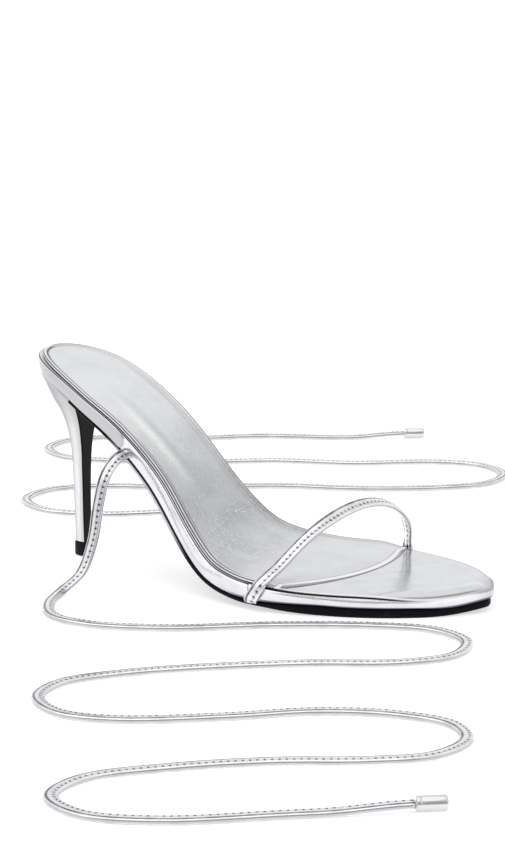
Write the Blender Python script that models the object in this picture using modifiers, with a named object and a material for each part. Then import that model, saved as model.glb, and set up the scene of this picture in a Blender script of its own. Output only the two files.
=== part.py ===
"""Right shoe of a pair: a silver stiletto sandal with one toe strap and two long ankle ties.

The toe points to +X, the outer side of the foot is -Y and the floor is z = 0. Sizes are in
millimetres and become metres where the meshes are made.
"""

from collections import namedtuple
from math import pi

import bmesh
import bpy
import numpy as np
from mathutils import Vector

MM = 0.001
GAP = 0.3
FRAME_X = 105.332
FRAME_Y = 4.363

SHARP_ANGLE = 0.7
STATIONS = 38
ACROSS = 6
BALL_BEND = 104.0
BALL_SPREAD = 20.0
BALL_CROWD = 1.2
END_SPREAD = 12.0
END_CROWD = 0.9

WRAP_END = 61.5
WRAP_STEP = 0.5
SEAT_UNDERCUT = 2.6
TOE_ROLL = 1.2
BREAST_LINE = 27.5
BREAST_THICK = 1.2
BREAST_HALF = 18.6
OUTSOLE_SET_BACK = 3.6
TIP_HEIGHT = 6.0
TIP_MARGIN = 0.5

SOCK_GAP = 0.35
SOCK_THICK = 1.3
SOCK_CROWN = 0.4
CROWN_REACH = 20.0
SOCK_OUTER_END = 138.5
SOCK_INNER_END = 149.0
SOCK_BOW = 10.0

STRAP_WIDTH = 5.5
STRAP_THICK = 2.0
TIE_WIDTH = 5.0
TIE_THICK = 2.0
TIE_POINT_SPACING = 13.0
AGLET_RADIUS = 2.6
AGLET_LENGTH = 10.0
AGLET_ROUND = 0.35

# The footbed down its middle: height of the covered board's top over the floor, rise of the inner
# edge over the outer edge from the middle out, and the thickness of board and outsole.
Profile = namedtuple("Profile", "along height roll board outsole")
PROFILE = (
    Profile(0.0, 88.6, 0.0, 8.0, 1.4),
    Profile(12.0, 84.9, 0.0, 6.4, 1.4),
    Profile(25.0, 79.8, 0.0, 5.6, 1.4),
    Profile(45.0, 68.3, 0.4, 6.3, 1.5),
    Profile(60.0, 57.6, 1.2, 7.0, 1.6),
    Profile(72.0, 47.8, 1.8, 7.3, 1.8),
    Profile(90.0, 30.5, 2.3, 7.5, 2.0),
    Profile(105.0, 18.2, 1.8, 7.8, 1.7),
    Profile(112.0, 15.3, 1.3, 7.6, 1.8),
    Profile(120.0, 13.0, 0.8, 7.4, 1.7),
    Profile(130.0, 11.2, 0.3, 6.9, 1.7),
    Profile(140.0, 9.9, 0.05, 5.8, 2.7),
    Profile(155.0, 9.1, 0.0, 4.9, 3.6),
    Profile(166.0, 8.8, 0.0, 5.1, 3.4),
    Profile(186.0, 8.8, 0.0, 5.1, 3.4),
    Profile(197.0, 9.7, 0.0, 6.4, 2.6),
    Profile(208.4, 11.6, 0.0, 7.0, 1.6),
)

# Outline of the board in plan: the outer edge from the back of the seat to the toe, then the
# inner edge back to the seat.
Edge = namedtuple("Edge", "along across")
OUTER_EDGE = (
    Edge(1.6, 0.0),
    Edge(4.0, -9.2),
    Edge(10.0, -15.8),
    Edge(20.0, -21.2),
    Edge(35.0, -24.3),
    Edge(55.0, -22.9),
    Edge(75.0, -25.0),
    Edge(95.0, -32.2),
    Edge(112.0, -38.0),
    Edge(128.0, -40.5),
    Edge(146.0, -37.8),
    Edge(164.0, -31.0),
    Edge(181.0, -22.2),
    Edge(194.5, -11.6),
    Edge(203.4, -2.0),
    Edge(208.4, 6.0),
)
INNER_EDGE = (
    Edge(208.4, 6.0),
    Edge(206.9, 11.2),
    Edge(203.4, 17.2),
    Edge(198.7, 23.0),
    Edge(191.0, 32.0),
    Edge(184.0, 37.8),
    Edge(175.0, 42.4),
    Edge(165.0, 45.7),
    Edge(156.0, 47.5),
    Edge(148.0, 48.0),
    Edge(141.0, 47.2),
    Edge(135.0, 44.0),
    Edge(129.5, 39.0),
    Edge(124.0, 34.4),
    Edge(117.5, 29.6),
    Edge(111.0, 25.0),
    Edge(104.0, 21.0),
    Edge(97.0, 18.6),
    Edge(90.0, 17.6),
    Edge(80.0, 17.8),
    Edge(72.0, 19.0),
    Edge(62.0, 21.6),
    Edge(50.0, 23.9),
    Edge(35.0, 25.2),
    Edge(20.0, 23.8),
    Edge(10.0, 18.2),
    Edge(4.0, 10.4),
    Edge(1.6, 0.0),
)

# Sides of the flat pieces from the lower edge to the upper one: inset from the outline, and level
# from the lower face (0) to the upper face (1).
Rim = namedtuple("Rim", "inset level")
BOARD_RIM = (
    Rim(1.2, 0.0),
    Rim(0.7, 0.12),
    Rim(0.2, 0.4),
    Rim(0.0, 0.72),
    Rim(0.25, 0.93),
    Rim(0.9, 1.0),
)
SOCK_RIM = (
    Rim(0.9, 0.0),
    Rim(0.35, 0.5),
    Rim(0.55, 1.05),
    Rim(1.1, 1.25),
    Rim(1.7, 1.05),
    Rim(2.2, 0.8),
    Rim(4.0, 1.0),
)
OUTSOLE_RIM = (
    Rim(1.7, 0.0),
    Rim(1.2, 0.18),
    Rim(0.9, 0.8),
    Rim(1.0, 1.0),
)
WAIST_INSET = 0.5
TOE_SET_BACK = 1.2

# Sections of the heel from the tip up: its back and its flat front along the shoe, and its width.
# The top row follows the underside of the seat.
HeelRow = namedtuple("HeelRow", "height back front width")
HEEL = (
    HeelRow(TIP_HEIGHT + GAP, 15.7, 21.8, 5.6),
    HeelRow(22.0, 15.2, 21.5, 5.7),
    HeelRow(34.0, 14.8, 21.5, 6.2),
    HeelRow(45.0, 14.2, 21.7, 7.2),
    HeelRow(51.0, 13.3, 21.9, 9.0),
    HeelRow(58.0, 11.6, 22.4, 13.0),
    HeelRow(64.0, 9.2, 23.2, 19.6),
    HeelRow(68.6, 6.4, 24.6, 28.0),
    HeelRow(73.0, 2.9, BREAST_LINE - GAP, 40.6),
)
HEEL_POINTS = 14

# The toe strap from its tucked outer end, up the side and over the toes, to its tucked inner end.
Route = namedtuple("Route", "along across height")
TOE_STRAP = (
    Route(126.5, -33.0, 3.65),
    Route(126.8, -39.4, 3.75),
    Route(127.6, -41.9, 5.2),
    Route(129.6, -42.3, 8.2),
    Route(131.6, -41.0, 11.6),
    Route(132.8, -37.0, 14.0),
    Route(133.6, -31.0, 16.3),
    Route(135.0, -23.6, 20.4),
    Route(136.8, -13.4, 25.5),
    Route(138.6, -2.8, 29.2),
    Route(140.4, 8.7, 31.8),
    Route(142.5, 20.4, 32.9),
    Route(144.2, 29.3, 32.1),
    Route(145.8, 36.8, 30.0),
    Route(147.2, 42.8, 26.6),
    Route(148.2, 46.8, 22.4),
    Route(148.5, 49.0, 17.6),
    Route(148.2, 50.0, 12.6),
    Route(147.8, 50.2, 8.6),
    Route(147.6, 49.4, 5.2),
    Route(147.6, 47.0, 3.75),
    Route(147.6, 40.6, 3.65),
)
STRAP_TURN = 0.85

# The ankle ties from their tucked ends, down to the floor and along it, uncoiled.
TIE_LIE = TIE_THICK / 2 + 0.15
TIE_OUTER = (
    Route(55.6, -15.4, 51.1),
    Route(55.4, -21.8, 51.5),
    Route(55.0, -28.3, 50.0),
    Route(54.6, -34.8, 44.8),
    Route(54.4, -39.6, 34.0),
    Route(54.2, -43.4, 20.0),
    Route(53.0, -50.4, 7.6),
    Route(50.6, -60.6, 2.1),
    Route(55.5, -75.8, TIE_LIE),
    Route(67.4, -89.6, TIE_LIE),
    Route(86.5, -92.0, TIE_LIE),
    Route(114.7, -80.7, TIE_LIE),
    Route(146.8, -56.5, TIE_LIE),
    Route(179.7, -37.6, TIE_LIE),
    Route(202.5, -30.7, TIE_LIE),
    Route(220.2, -38.7, TIE_LIE),
    Route(225.0, -58.0, TIE_LIE),
    Route(212.6, -76.1, TIE_LIE),
    Route(184.0, -94.6, TIE_LIE),
    Route(154.2, -118.7, TIE_LIE),
    Route(132.7, -141.1, TIE_LIE),
    Route(121.4, -160.9, TIE_LIE),
    Route(124.8, -179.9, TIE_LIE),
    Route(141.8, -190.6, TIE_LIE),
    Route(162.5, -186.2, TIE_LIE),
    Route(191.7, -164.9, TIE_LIE),
    Route(215.9, -143.1, TIE_LIE),
    Route(239.7, -132.2, TIE_LIE),
    Route(261.6, -131.7, TIE_LIE),
    Route(274.4, -145.0, TIE_LIE),
    Route(272.5, -164.9, TIE_LIE),
    Route(257.1, -180.1, TIE_LIE),
    Route(230.3, -197.6, TIE_LIE),
    Route(206.1, -219.3, TIE_LIE),
    Route(187.9, -243.3, TIE_LIE),
    Route(189.6, -263.3, TIE_LIE),
    Route(207.3, -271.3, TIE_LIE),
    Route(230.4, -263.1, TIE_LIE),
    Route(260.3, -239.0, TIE_LIE),
    Route(288.4, -216.1, TIE_LIE),
    Route(309.9, -199.5, TIE_LIE),
)
TIE_INNER = (
    Route(63.6, 11.4, 46.0),
    Route(63.2, 18.0, 47.0),
    Route(62.8, 24.6, 46.0),
    Route(62.4, 30.6, 40.6),
    Route(62.0, 34.8, 30.0),
    Route(61.6, 38.8, 17.0),
    Route(60.6, 46.0, 6.4),
    Route(58.2, 56.6, 2.1),
    Route(52.9, 78.4, TIE_LIE),
    Route(36.4, 88.2, TIE_LIE),
    Route(14.3, 84.1, TIE_LIE),
    Route(-12.6, 63.0, TIE_LIE),
    Route(-39.3, 55.0, TIE_LIE),
    Route(-59.7, 67.2, TIE_LIE),
    Route(-62.9, 89.8, TIE_LIE),
    Route(-47.4, 108.6, TIE_LIE),
    Route(-11.7, 126.8, TIE_LIE),
    Route(22.1, 152.1, TIE_LIE),
    Route(59.4, 167.8, TIE_LIE),
    Route(90.8, 189.2, TIE_LIE),
    Route(105.8, 208.9, TIE_LIE),
    Route(103.0, 230.6, TIE_LIE),
    Route(85.0, 243.0, TIE_LIE),
    Route(62.0, 238.4, TIE_LIE),
    Route(30.3, 215.6, TIE_LIE),
    Route(-7.0, 199.9, TIE_LIE),
    Route(-40.8, 174.7, TIE_LIE),
    Route(-73.6, 159.4, TIE_LIE),
    Route(-99.7, 154.0, TIE_LIE),
    Route(-117.7, 166.4, TIE_LIE),
    Route(-120.5, 188.2, TIE_LIE),
    Route(-105.0, 207.0, TIE_LIE),
    Route(-71.0, 224.2, TIE_LIE),
    Route(-41.6, 249.1, TIE_LIE),
    Route(-7.1, 265.4, TIE_LIE),
    Route(23.8, 287.7, TIE_LIE),
    Route(50.3, 298.0, TIE_LIE),
)
TIE_LENGTH = 940.0
TIE_ROOT = 90.0
TIE_ROOT_SPACING = 6.0
TIE_END_RISE = 30.0

MATERIALS = {
    "outsole": ((0.012, 0.012, 0.014, 1.0), 0.0, 0.38),
    "insole_board": ((0.82, 0.82, 0.84, 1.0), 0.9, 0.22),
    "sock": ((0.74, 0.74, 0.76, 1.0), 0.8, 0.38),
    "heel": ((0.80, 0.80, 0.82, 1.0), 0.9, 0.24),
    "heel_breast": ((0.012, 0.012, 0.014, 1.0), 0.0, 0.4),
    "heel_tip": ((0.016, 0.016, 0.018, 1.0), 0.0, 0.5),
    "toe_strap": ((0.82, 0.82, 0.84, 1.0), 0.9, 0.26),
    "tie_outer": ((0.82, 0.82, 0.84, 1.0), 0.9, 0.28),
    "tie_inner": ((0.82, 0.82, 0.84, 1.0), 0.9, 0.28),
    "aglet_outer": ((0.70, 0.70, 0.69, 1.0), 1.0, 0.2),
    "aglet_inner": ((0.70, 0.70, 0.69, 1.0), 1.0, 0.2),
}


def clear_scene():
    for obj in list(bpy.data.objects):
        bpy.data.objects.remove(obj, do_unlink=True)


def make_collection(name):
    made = bpy.data.collections.new(name)
    bpy.context.scene.collection.children.link(made)
    return made


def column(rows, name):
    return np.array([getattr(row, name) for row in rows])


def eased(at, known_at, known):
    """A smooth curve through the known values that never swings past them, and its slope."""
    step = np.diff(known_at)
    rise = np.diff(known) / step
    slope = np.zeros(len(known))
    slope[0] = rise[0]
    slope[-1] = rise[-1]
    for i in range(1, len(known) - 1):
        if rise[i - 1] * rise[i] > 0:
            before = 2 * step[i] + step[i - 1]
            after = step[i] + 2 * step[i - 1]
            slope[i] = (before + after) / (before / rise[i - 1] + after / rise[i])
    at = np.asarray(at, float)
    k = np.clip(np.searchsorted(known_at, at) - 1, 0, len(step) - 1)
    t = np.clip((at - known_at[k]) / step[k], 0.0, 1.0)
    beyond = at - np.clip(at, known_at[0], known_at[-1])
    bend_a = slope[k] * step[k]
    bend_b = slope[k + 1] * step[k]
    gain = known[k + 1] - known[k]
    cubic = bend_a + bend_b - 2 * gain
    square = 3 * gain - 2 * bend_a - bend_b
    value = known[k] + t * (bend_a + t * (square + t * cubic))
    tangent = (bend_a + t * (2 * square + 3 * t * cubic)) / step[k]
    return value + beyond * tangent, tangent


def eased_step(value):
    t = np.clip(value, 0.0, 1.0)
    return t * t * (3 - 2 * t)


def profile(along, name):
    return eased(along, column(PROFILE, "along"), column(PROFILE, name))[0]


def last_point(along, across, offset):
    """A point over the footbed in plan, moved square to the footbed's slope by the offset."""
    height, slope = eased(along, column(PROFILE, "along"), column(PROFILE, "height"))
    roll = profile(along, "roll") * across / 24.0
    length = np.sqrt(1 + slope**2)
    x = along - offset * slope / length
    z = height + roll + offset / length
    return np.stack([x, across + 0 * z, z], axis=-1)


def smooth_path(points, fine=24):
    """A dense curve through the points, with a tangent at each from its two neighbours."""
    points = np.asarray(points, float)
    gaps = np.sqrt(np.linalg.norm(np.diff(points, axis=0), axis=1))
    knots = np.concatenate([[0.0], np.cumsum(gaps)])
    tangent = np.gradient(points, knots, axis=0)
    dense = []
    for i in range(len(points) - 1):
        t = np.linspace(0.0, 1.0, fine, endpoint=False)[:, None]
        span = knots[i + 1] - knots[i]
        dense.append(
            (1 + 2 * t) * (1 - t) ** 2 * points[i]
            + t * (1 - t) ** 2 * span * tangent[i]
            + t**2 * (3 - 2 * t) * points[i + 1]
            + t**2 * (t - 1) * span * tangent[i + 1]
        )
    dense.append(points[-1:])
    return np.concatenate(dense)


def along_path(path, distances):
    length = np.concatenate([[0.0], np.cumsum(np.linalg.norm(np.diff(path, axis=0), axis=1))])
    return np.stack([np.interp(distances, length, path[:, i]) for i in range(path.shape[1])], 1)


def path_length(path):
    return np.linalg.norm(np.diff(path, axis=0), axis=1).sum()


def outline_sides():
    """The outer and inner edges in plan, both from the seat to the toe, each with its inward normal."""
    loop = np.array(OUTER_EDGE + INNER_EDGE[1:])
    turn = np.concatenate([loop[-4:-1], loop, loop[1:4]])
    dense = smooth_path(turn)
    dense = dense[3 * 24 : -3 * 24]
    heading = np.gradient(dense, axis=0)
    heading[0] = heading[-1] = (0.0, -1.0)
    inward = np.stack([-heading[:, 1], heading[:, 0]], 1)
    inward /= np.linalg.norm(inward, axis=1)[:, None]
    toe = int(np.argmax(dense[:, 0]))
    outer = np.hstack([dense, inward])[: toe + 1]
    inner = np.hstack([dense, inward])[toe:][::-1]
    return outer, inner


def side_stations(side, start, end, extra=()):
    """Rows of x, y and inward normal along one edge, closer together at the ball and at round ends."""
    x = side[:, 0]
    step = np.linalg.norm(np.diff(side[:, :2], axis=0), axis=1)
    length = np.concatenate([[0.0], np.cumsum(step)])
    crowd = 1.0 + BALL_CROWD * np.exp(-(((x - BALL_BEND) / BALL_SPREAD) ** 2))
    for tip in (length, length[-1] - length):
        crowd += END_CROWD * np.exp(-((tip / END_SPREAD) ** 2))
    share = np.concatenate([[0.0], np.cumsum(step * (crowd[1:] + crowd[:-1]) / 2)])
    ends = np.interp(np.interp([start, end], x, length), length, share)
    at = np.interp(np.linspace(ends[0], ends[1], STATIONS), share, length)
    at = np.sort(np.concatenate([at, np.interp(extra, x, length)]))
    rows = np.stack([np.interp(at, length, side[:, i]) for i in range(4)], 1)
    rows[:, 2:] /= np.linalg.norm(rows[:, 2:], axis=1)[:, None]
    return rows


def loft(name, sections, caps):
    """One closed mesh through sections of equal point count; caps lists each end's faces."""
    sections = np.asarray(sections)
    count, points = sections.shape[:2]
    frame = np.array([FRAME_X, FRAME_Y, 0.0])
    mesh = bpy.data.meshes.new(name)
    faces = []
    for i in range(count - 1):
        for j in range(points):
            k = (j + 1) % points
            faces.append((i * points + j, i * points + k, (i + 1) * points + k, (i + 1) * points + j))
    for end, offset in ((0, 0), (1, (count - 1) * points)):
        for face in caps[end]:
            faces.append(tuple(offset + j for j in face))
    mesh.from_pydata(((sections.reshape(-1, 3) - frame) * MM).tolist(), [], faces)
    build = bmesh.new()
    build.from_mesh(mesh)
    bmesh.ops.remove_doubles(build, verts=build.verts, dist=0.02 * MM)
    bmesh.ops.recalc_face_normals(build, faces=build.faces)
    build.to_mesh(mesh)
    build.free()
    return mesh


def slab(name, outer, inner, rim, lower, upper, bow=None, crown=None, step=None):
    """A flat piece of the sole: at each station its lower face, inner side, upper face, outer side."""
    t = np.linspace(0.0, 1.0, ACROSS + 1)
    sections = []
    for i in range(len(outer)):
        section = []
        sides = []
        for row in (outer[i], inner[i]):
            side = []
            for inset, level in rim:
                pull = inset + (step(row[0], level) if step else 0.0)
                x = row[0] + pull * row[2]
                y = row[1] + pull * row[3]
                side.append((x, y, level))
            sides.append(np.array(side))
        a, b = sides
        low = a[0] + (b[0] - a[0]) * t[:, None]
        top = b[-1] + (a[-1] - b[-1]) * t[:, None]
        if bow:
            low[:, 0] += bow(i) * (1 - (2 * t - 1) ** 2)
            top[:, 0] += bow(i) * (1 - (2 * t - 1) ** 2)
        plan = np.concatenate([low, b[1:-1], top, a[1:-1][::-1]])
        under = lower(plan[:, 0])
        offset = under + (upper(plan[:, 0]) - under) * plan[:, 2]
        if crown:
            reach = min(1.0, np.linalg.norm(top[0, :2] - top[-1, :2]) / CROWN_REACH)
            rise = reach * crown(top[:, 0]) * (1 - (2 * t - 1) ** 4)
            offset[ACROSS + len(rim) - 1 :][: ACROSS + 1] += rise
        sections.append(last_point(plan[:, 0], plan[:, 1], offset))
    width = ACROSS + 1
    climb = len(rim) - 2
    caps = [(j, j + 1, 2 * width + climb - 2 - j, 2 * width + climb - 1 - j) for j in range(ACROSS)]
    caps.append(tuple(range(width - 1, width + climb + 1)))
    caps.append((0,) + tuple(range(2 * width + climb - 1, 2 * width + 2 * climb)))
    pointed = np.allclose(outer[0, :2], inner[0, :2], atol=0.05)
    sharp = np.allclose(outer[-1, :2], inner[-1, :2], atol=0.05)
    return loft(name, sections, ([] if pointed else caps, [] if sharp else caps))


def board_under(x):
    return -profile(x, "board")


def toe_roll(x):
    """Fall of the toe's rolled edge under the footbed's middle."""
    return TOE_ROLL * eased_step((x - 163.0) / 33.0)


def wrap_step(x, level):
    """Undercut of the seat's back, and inset of the waist's side in front of the rear wrap."""
    if x < WRAP_END or level > 0.95:
        return SEAT_UNDERCUT * (1.0 - level) * float(np.clip(1.0 - x / 18.0, 0.0, 1.0))
    return WRAP_STEP * float(np.clip((112.0 - x) / 30.0, 0.0, 1.0))


def make_board(outer, inner):
    ends = (WRAP_END - 0.25, WRAP_END + 0.25)
    a = side_stations(outer, 0.0, outer[-1, 0], ends)
    b = side_stations(inner, 0.0, inner[-1, 0], ends)
    return slab(
        "insole_board",
        a,
        b,
        BOARD_RIM,
        board_under,
        lambda x: -toe_roll(x),
        crown=toe_roll,
        step=wrap_step,
    )


def make_sock(outer, inner):
    a = side_stations(outer, 0.0, SOCK_OUTER_END)
    b = side_stations(inner, 0.0, SOCK_INNER_END)

    def bow(i):
        return SOCK_BOW * (i / (STATIONS - 1)) ** 3

    return slab(
        "sock",
        a,
        b,
        SOCK_RIM,
        lambda x: SOCK_GAP + 0 * x,
        lambda x: SOCK_GAP + SOCK_THICK + 0 * x,
        bow,
        lambda x: SOCK_CROWN + 0 * x,
    )


def make_outsole(outer, inner):
    start = BREAST_LINE + OUTSOLE_SET_BACK
    a = side_stations(outer, start, outer[-1, 0])
    b = side_stations(inner, start, inner[-1, 0])

    def top(x):
        return board_under(x) - GAP

    def bottom(x):
        return top(x) - profile(x, "outsole")

    def waist(x, level):
        back = TOE_SET_BACK * eased_step((x - 188.0) / 18.0)
        return WAIST_INSET * float(np.clip((125.0 - x) / 40.0, 0.0, 1.0)) + back

    return slab("outsole", a, b, OUTSOLE_RIM, bottom, top, step=waist)


def seat_under(x, y):
    """Height of the board's underside over a point in plan, less the gap."""
    foot = np.array(x, float)
    for _ in range(6):
        point = last_point(foot, y, board_under(foot) - GAP)
        foot = foot + (x - point[..., 0])
    return last_point(foot, y, board_under(foot) - GAP)[..., 2]


def make_heel():
    sections = []
    angle = np.linspace(-pi / 2, pi / 2, HEEL_POINTS)
    for row in HEEL:
        front = row.front - BREAST_THICK - GAP
        depth = front - row.back
        x = front - depth * np.cos(angle)
        y = row.width / 2 * np.sin(angle)
        z = np.full(HEEL_POINTS, row.height)
        if row is HEEL[-1]:
            z = seat_under(x, y)
        sections.append(np.stack([x, y, z], 1))
    cap = [tuple(range(HEEL_POINTS))]
    strips = [
        (j, j + 1, HEEL_POINTS - 2 - j, HEEL_POINTS - 1 - j) for j in range(HEEL_POINTS // 2 - 1)
    ]
    return loft("heel", sections, (cap, strips))


def make_breast():
    sections = []
    across = np.linspace(-1.0, 1.0, 5)
    for row in HEEL:
        half = min(row.width / 2 - 0.15, BREAST_HALF)
        y = np.concatenate([across, across[::-1]]) * half
        x = np.concatenate([np.full(5, row.front - BREAST_THICK), np.full(5, row.front)])
        z = np.full(10, row.height)
        if row is HEEL[-1]:
            z = seat_under(x, y)
        sections.append(np.stack([x, y, z], 1))
    strips = [(j, j + 1, 8 - j, 9 - j) for j in range(4)]
    return loft("heel_breast", sections, (strips, strips))


def make_tip():
    row = HEEL[0]
    sections = []
    angle = np.linspace(-pi / 2, pi / 2, 10)
    for height, grow in ((0.0, -0.1), (0.5, TIP_MARGIN), (TIP_HEIGHT - 0.4, TIP_MARGIN), (TIP_HEIGHT, 0.2)):
        front = row.front + grow * 0.6
        depth = front - row.back + grow
        x = front - depth * np.cos(angle)
        y = (row.width / 2 + grow) * np.sin(angle)
        sections.append(np.stack([x, y, np.full(10, height)], 1))
    cap = [tuple(range(10))]
    return loft("heel_tip", sections, (cap, cap))


def strap_profile(width, thick, grow=0.0):
    """Half-round edged flat section, as steps to the side and to the face."""
    half = width / 2 + grow
    rise = thick / 2 + grow
    edge = rise * 0.55
    side = np.array([half, half - edge, -half + edge, -half, -half, -half + edge, half - edge, half])
    face = np.array([edge, rise, rise, edge, -edge, -rise, -rise, -edge])
    return np.stack([side, face], 1)


def sweep(name, path, sideways, section):
    """A section carried along a path, its width held toward the given direction at each point."""
    tangent = np.gradient(path, axis=0)
    tangent /= np.linalg.norm(tangent, axis=1)[:, None]
    wide = sideways - (sideways * tangent).sum(1)[:, None] * tangent
    wide /= np.linalg.norm(wide, axis=1)[:, None]
    face = np.cross(tangent, wide)
    rings = (
        path[:, None]
        + section[None, :, :1] * wide[:, None]
        + section[None, :, 1:] * face[:, None]
    )
    cap = [tuple(range(len(section)))]
    return loft(name, rings, (cap, cap))


def toe_strap_path(lengthen=0.0):
    dense = smooth_path(np.array(TOE_STRAP))
    total = path_length(dense)
    stops = np.linspace(0.0, total, 57)
    path = along_path(dense, stops)
    for end, beside in ((0, 1), (-1, -2)):
        way = path[end] - path[beside]
        path[end] += way / np.linalg.norm(way) * lengthen
    return path


def strap_sideways(path):
    """Along the shoe, turned toward the outer side where the strap stands up from the inner edge."""
    turn = STRAP_TURN * eased_step((path[:, 1] - 30.0) / 16.0) * eased_step((path[:, 2] - 7.0) / 7.0)
    return np.stack([np.cos(turn), -np.sin(turn), 0 * turn], 1)


def tie_path(route, length, lengthen=0.0):
    dense = smooth_path(np.array(route))
    root = np.arange(0.0, TIE_ROOT, TIE_ROOT_SPACING)
    run = np.linspace(TIE_ROOT, length, int((length - TIE_ROOT) / TIE_POINT_SPACING))
    stops = np.concatenate([root, run])
    path = along_path(dense, stops)
    ease = eased_step((stops - length) / TIE_END_RISE + 1.0)
    path[:, 2] = np.maximum(path[:, 2], TIE_LIE) + (AGLET_RADIUS - TIE_LIE) * ease
    way = path[0] - path[1]
    path[0] += way / np.linalg.norm(way) * lengthen
    return path


def tie_sideways(path):
    """Square to the path's heading in plan: along the footbed's slope at the root, level on the floor."""
    heading = np.gradient(path[:, :2], axis=0)
    heading /= np.linalg.norm(heading, axis=1)[:, None]
    slope = eased(path[:1, 0], column(PROFILE, "along"), column(PROFILE, "height"))[1]
    gone = np.concatenate([[0.0], np.cumsum(np.linalg.norm(np.diff(path, axis=0), axis=1))])
    fade = np.clip(1.0 - (gone - 12.0) / 40.0, 0.0, 1.0)
    return np.stack([-heading[:, 1], heading[:, 0], -heading[:, 1] * slope * fade], 1)


def add(collection, name, mesh):
    obj = bpy.data.objects.new(name, mesh)
    collection.objects.link(obj)
    mesh.shade_smooth()
    mesh.set_sharp_from_angle(angle=SHARP_ANGLE)
    if name in MATERIALS:
        colour, metallic, roughness = MATERIALS[name]
        material = bpy.data.materials.new(name)
        material.use_nodes = True
        shader = material.node_tree.nodes["Principled BSDF"]
        shader.inputs["Base Color"].default_value = colour
        shader.inputs["Metallic"].default_value = metallic
        shader.inputs["Roughness"].default_value = roughness
        material.diffuse_color = colour
        mesh.materials.append(material)
    return obj


def cut(obj, cutter):
    modifier = obj.modifiers.new("cut_" + cutter.name, "BOOLEAN")
    modifier.operation = "DIFFERENCE"
    modifier.solver = "EXACT"
    modifier.object = cutter


def make_aglet(name, collection, end, before):
    """A short round sleeve past the end of a tie, with its edges rounded."""
    way = Vector((end - before).tolist()).normalized()
    way.z = 0.0
    way.normalize()
    build = bmesh.new()
    bmesh.ops.create_cone(
        build,
        cap_ends=True,
        segments=16,
        radius1=AGLET_RADIUS * MM,
        radius2=AGLET_RADIUS * MM,
        depth=AGLET_LENGTH * MM,
    )
    mesh = bpy.data.meshes.new(name)
    build.to_mesh(mesh)
    build.free()
    obj = add(collection, name, mesh)
    start = Vector((end[0] - FRAME_X, end[1] - FRAME_Y, AGLET_RADIUS))
    obj.location = (start + way * (GAP + AGLET_LENGTH / 2)) * MM
    obj.rotation_euler = way.to_track_quat("Z", "Y").to_euler()
    bevel = obj.modifiers.new("rounded_ends", "BEVEL")
    bevel.width = AGLET_ROUND * MM
    bevel.segments = 2
    return obj


def main():
    clear_scene()
    parts = make_collection("lace_up_sandal")
    helpers = make_collection("cutters")
    helpers.hide_render = True
    outer, inner = outline_sides()
    board = add(parts, "insole_board", make_board(outer, inner))
    sock = add(parts, "sock", make_sock(outer, inner))
    outsole = add(parts, "outsole", make_outsole(outer, inner))
    add(parts, "heel", make_heel())
    add(parts, "heel_breast", make_breast())
    add(parts, "heel_tip", make_tip())

    strap_path = toe_strap_path()
    sideways = strap_sideways(strap_path)
    section = strap_profile(STRAP_WIDTH, STRAP_THICK)
    add(parts, "toe_strap", sweep("toe_strap", strap_path, sideways, section))
    grown = strap_profile(STRAP_WIDTH, STRAP_THICK, GAP)
    cutters = [sweep("strap_room", toe_strap_path(GAP), sideways, grown)]

    for side, route in (("outer", TIE_OUTER), ("inner", TIE_INNER)):
        path = tie_path(route, TIE_LENGTH - AGLET_LENGTH - GAP)
        sideways = tie_sideways(path)
        flat = strap_profile(TIE_WIDTH, TIE_THICK)
        add(parts, "tie_" + side, sweep("tie_" + side, path, sideways, flat))
        make_aglet("aglet_" + side, parts, path[-1], path[-2])
        room = tie_path(route, TIE_LENGTH - AGLET_LENGTH - GAP, GAP)
        wide = strap_profile(TIE_WIDTH, TIE_THICK, GAP)
        cutters.append(sweep("tie_room_" + side, room[:8], sideways[:8], wide))

    for mesh in cutters:
        cutter = add(helpers, mesh.name, mesh)
        cutter.hide_render = True
        cutter.display_type = "WIRE"
        for obj in (board, sock, outsole):
            cut(obj, cutter)


main()
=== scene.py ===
"""Looks of a right silver stiletto sandal with a toe strap and two long ankle ties.

Sizes are in millimetres in the shoe's plan: x runs from the back of the seat to the toe, y runs
across with the outer side negative, and z is the height over the floor. The row frame is in metres,
and FRAME_X and FRAME_Y are where its origin lies in that plan.
"""

import math
from collections import namedtuple
from functools import partialmethod

import bmesh
import bpy
import numpy as np
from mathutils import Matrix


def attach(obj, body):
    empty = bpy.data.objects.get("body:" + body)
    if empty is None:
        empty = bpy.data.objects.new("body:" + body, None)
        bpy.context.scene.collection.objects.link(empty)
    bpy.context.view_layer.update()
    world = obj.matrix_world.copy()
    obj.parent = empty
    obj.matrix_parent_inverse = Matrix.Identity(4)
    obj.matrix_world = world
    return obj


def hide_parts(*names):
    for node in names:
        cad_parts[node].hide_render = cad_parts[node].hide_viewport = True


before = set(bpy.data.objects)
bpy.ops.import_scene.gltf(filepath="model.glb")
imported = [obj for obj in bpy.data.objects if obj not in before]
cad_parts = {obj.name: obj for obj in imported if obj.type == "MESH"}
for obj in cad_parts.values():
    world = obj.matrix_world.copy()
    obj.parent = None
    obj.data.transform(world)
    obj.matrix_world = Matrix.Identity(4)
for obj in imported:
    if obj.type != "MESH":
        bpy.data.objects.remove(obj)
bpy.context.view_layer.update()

MM = 0.001
GAP = 0.3
FRAME_X = 105.332
FRAME_Y = 4.363


def table(columns, *rows, defaults=()):
    """Rows of numbers under named columns."""
    kind = namedtuple("Row", columns, defaults=defaults)
    return [kind(*row) for row in rows]


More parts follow.
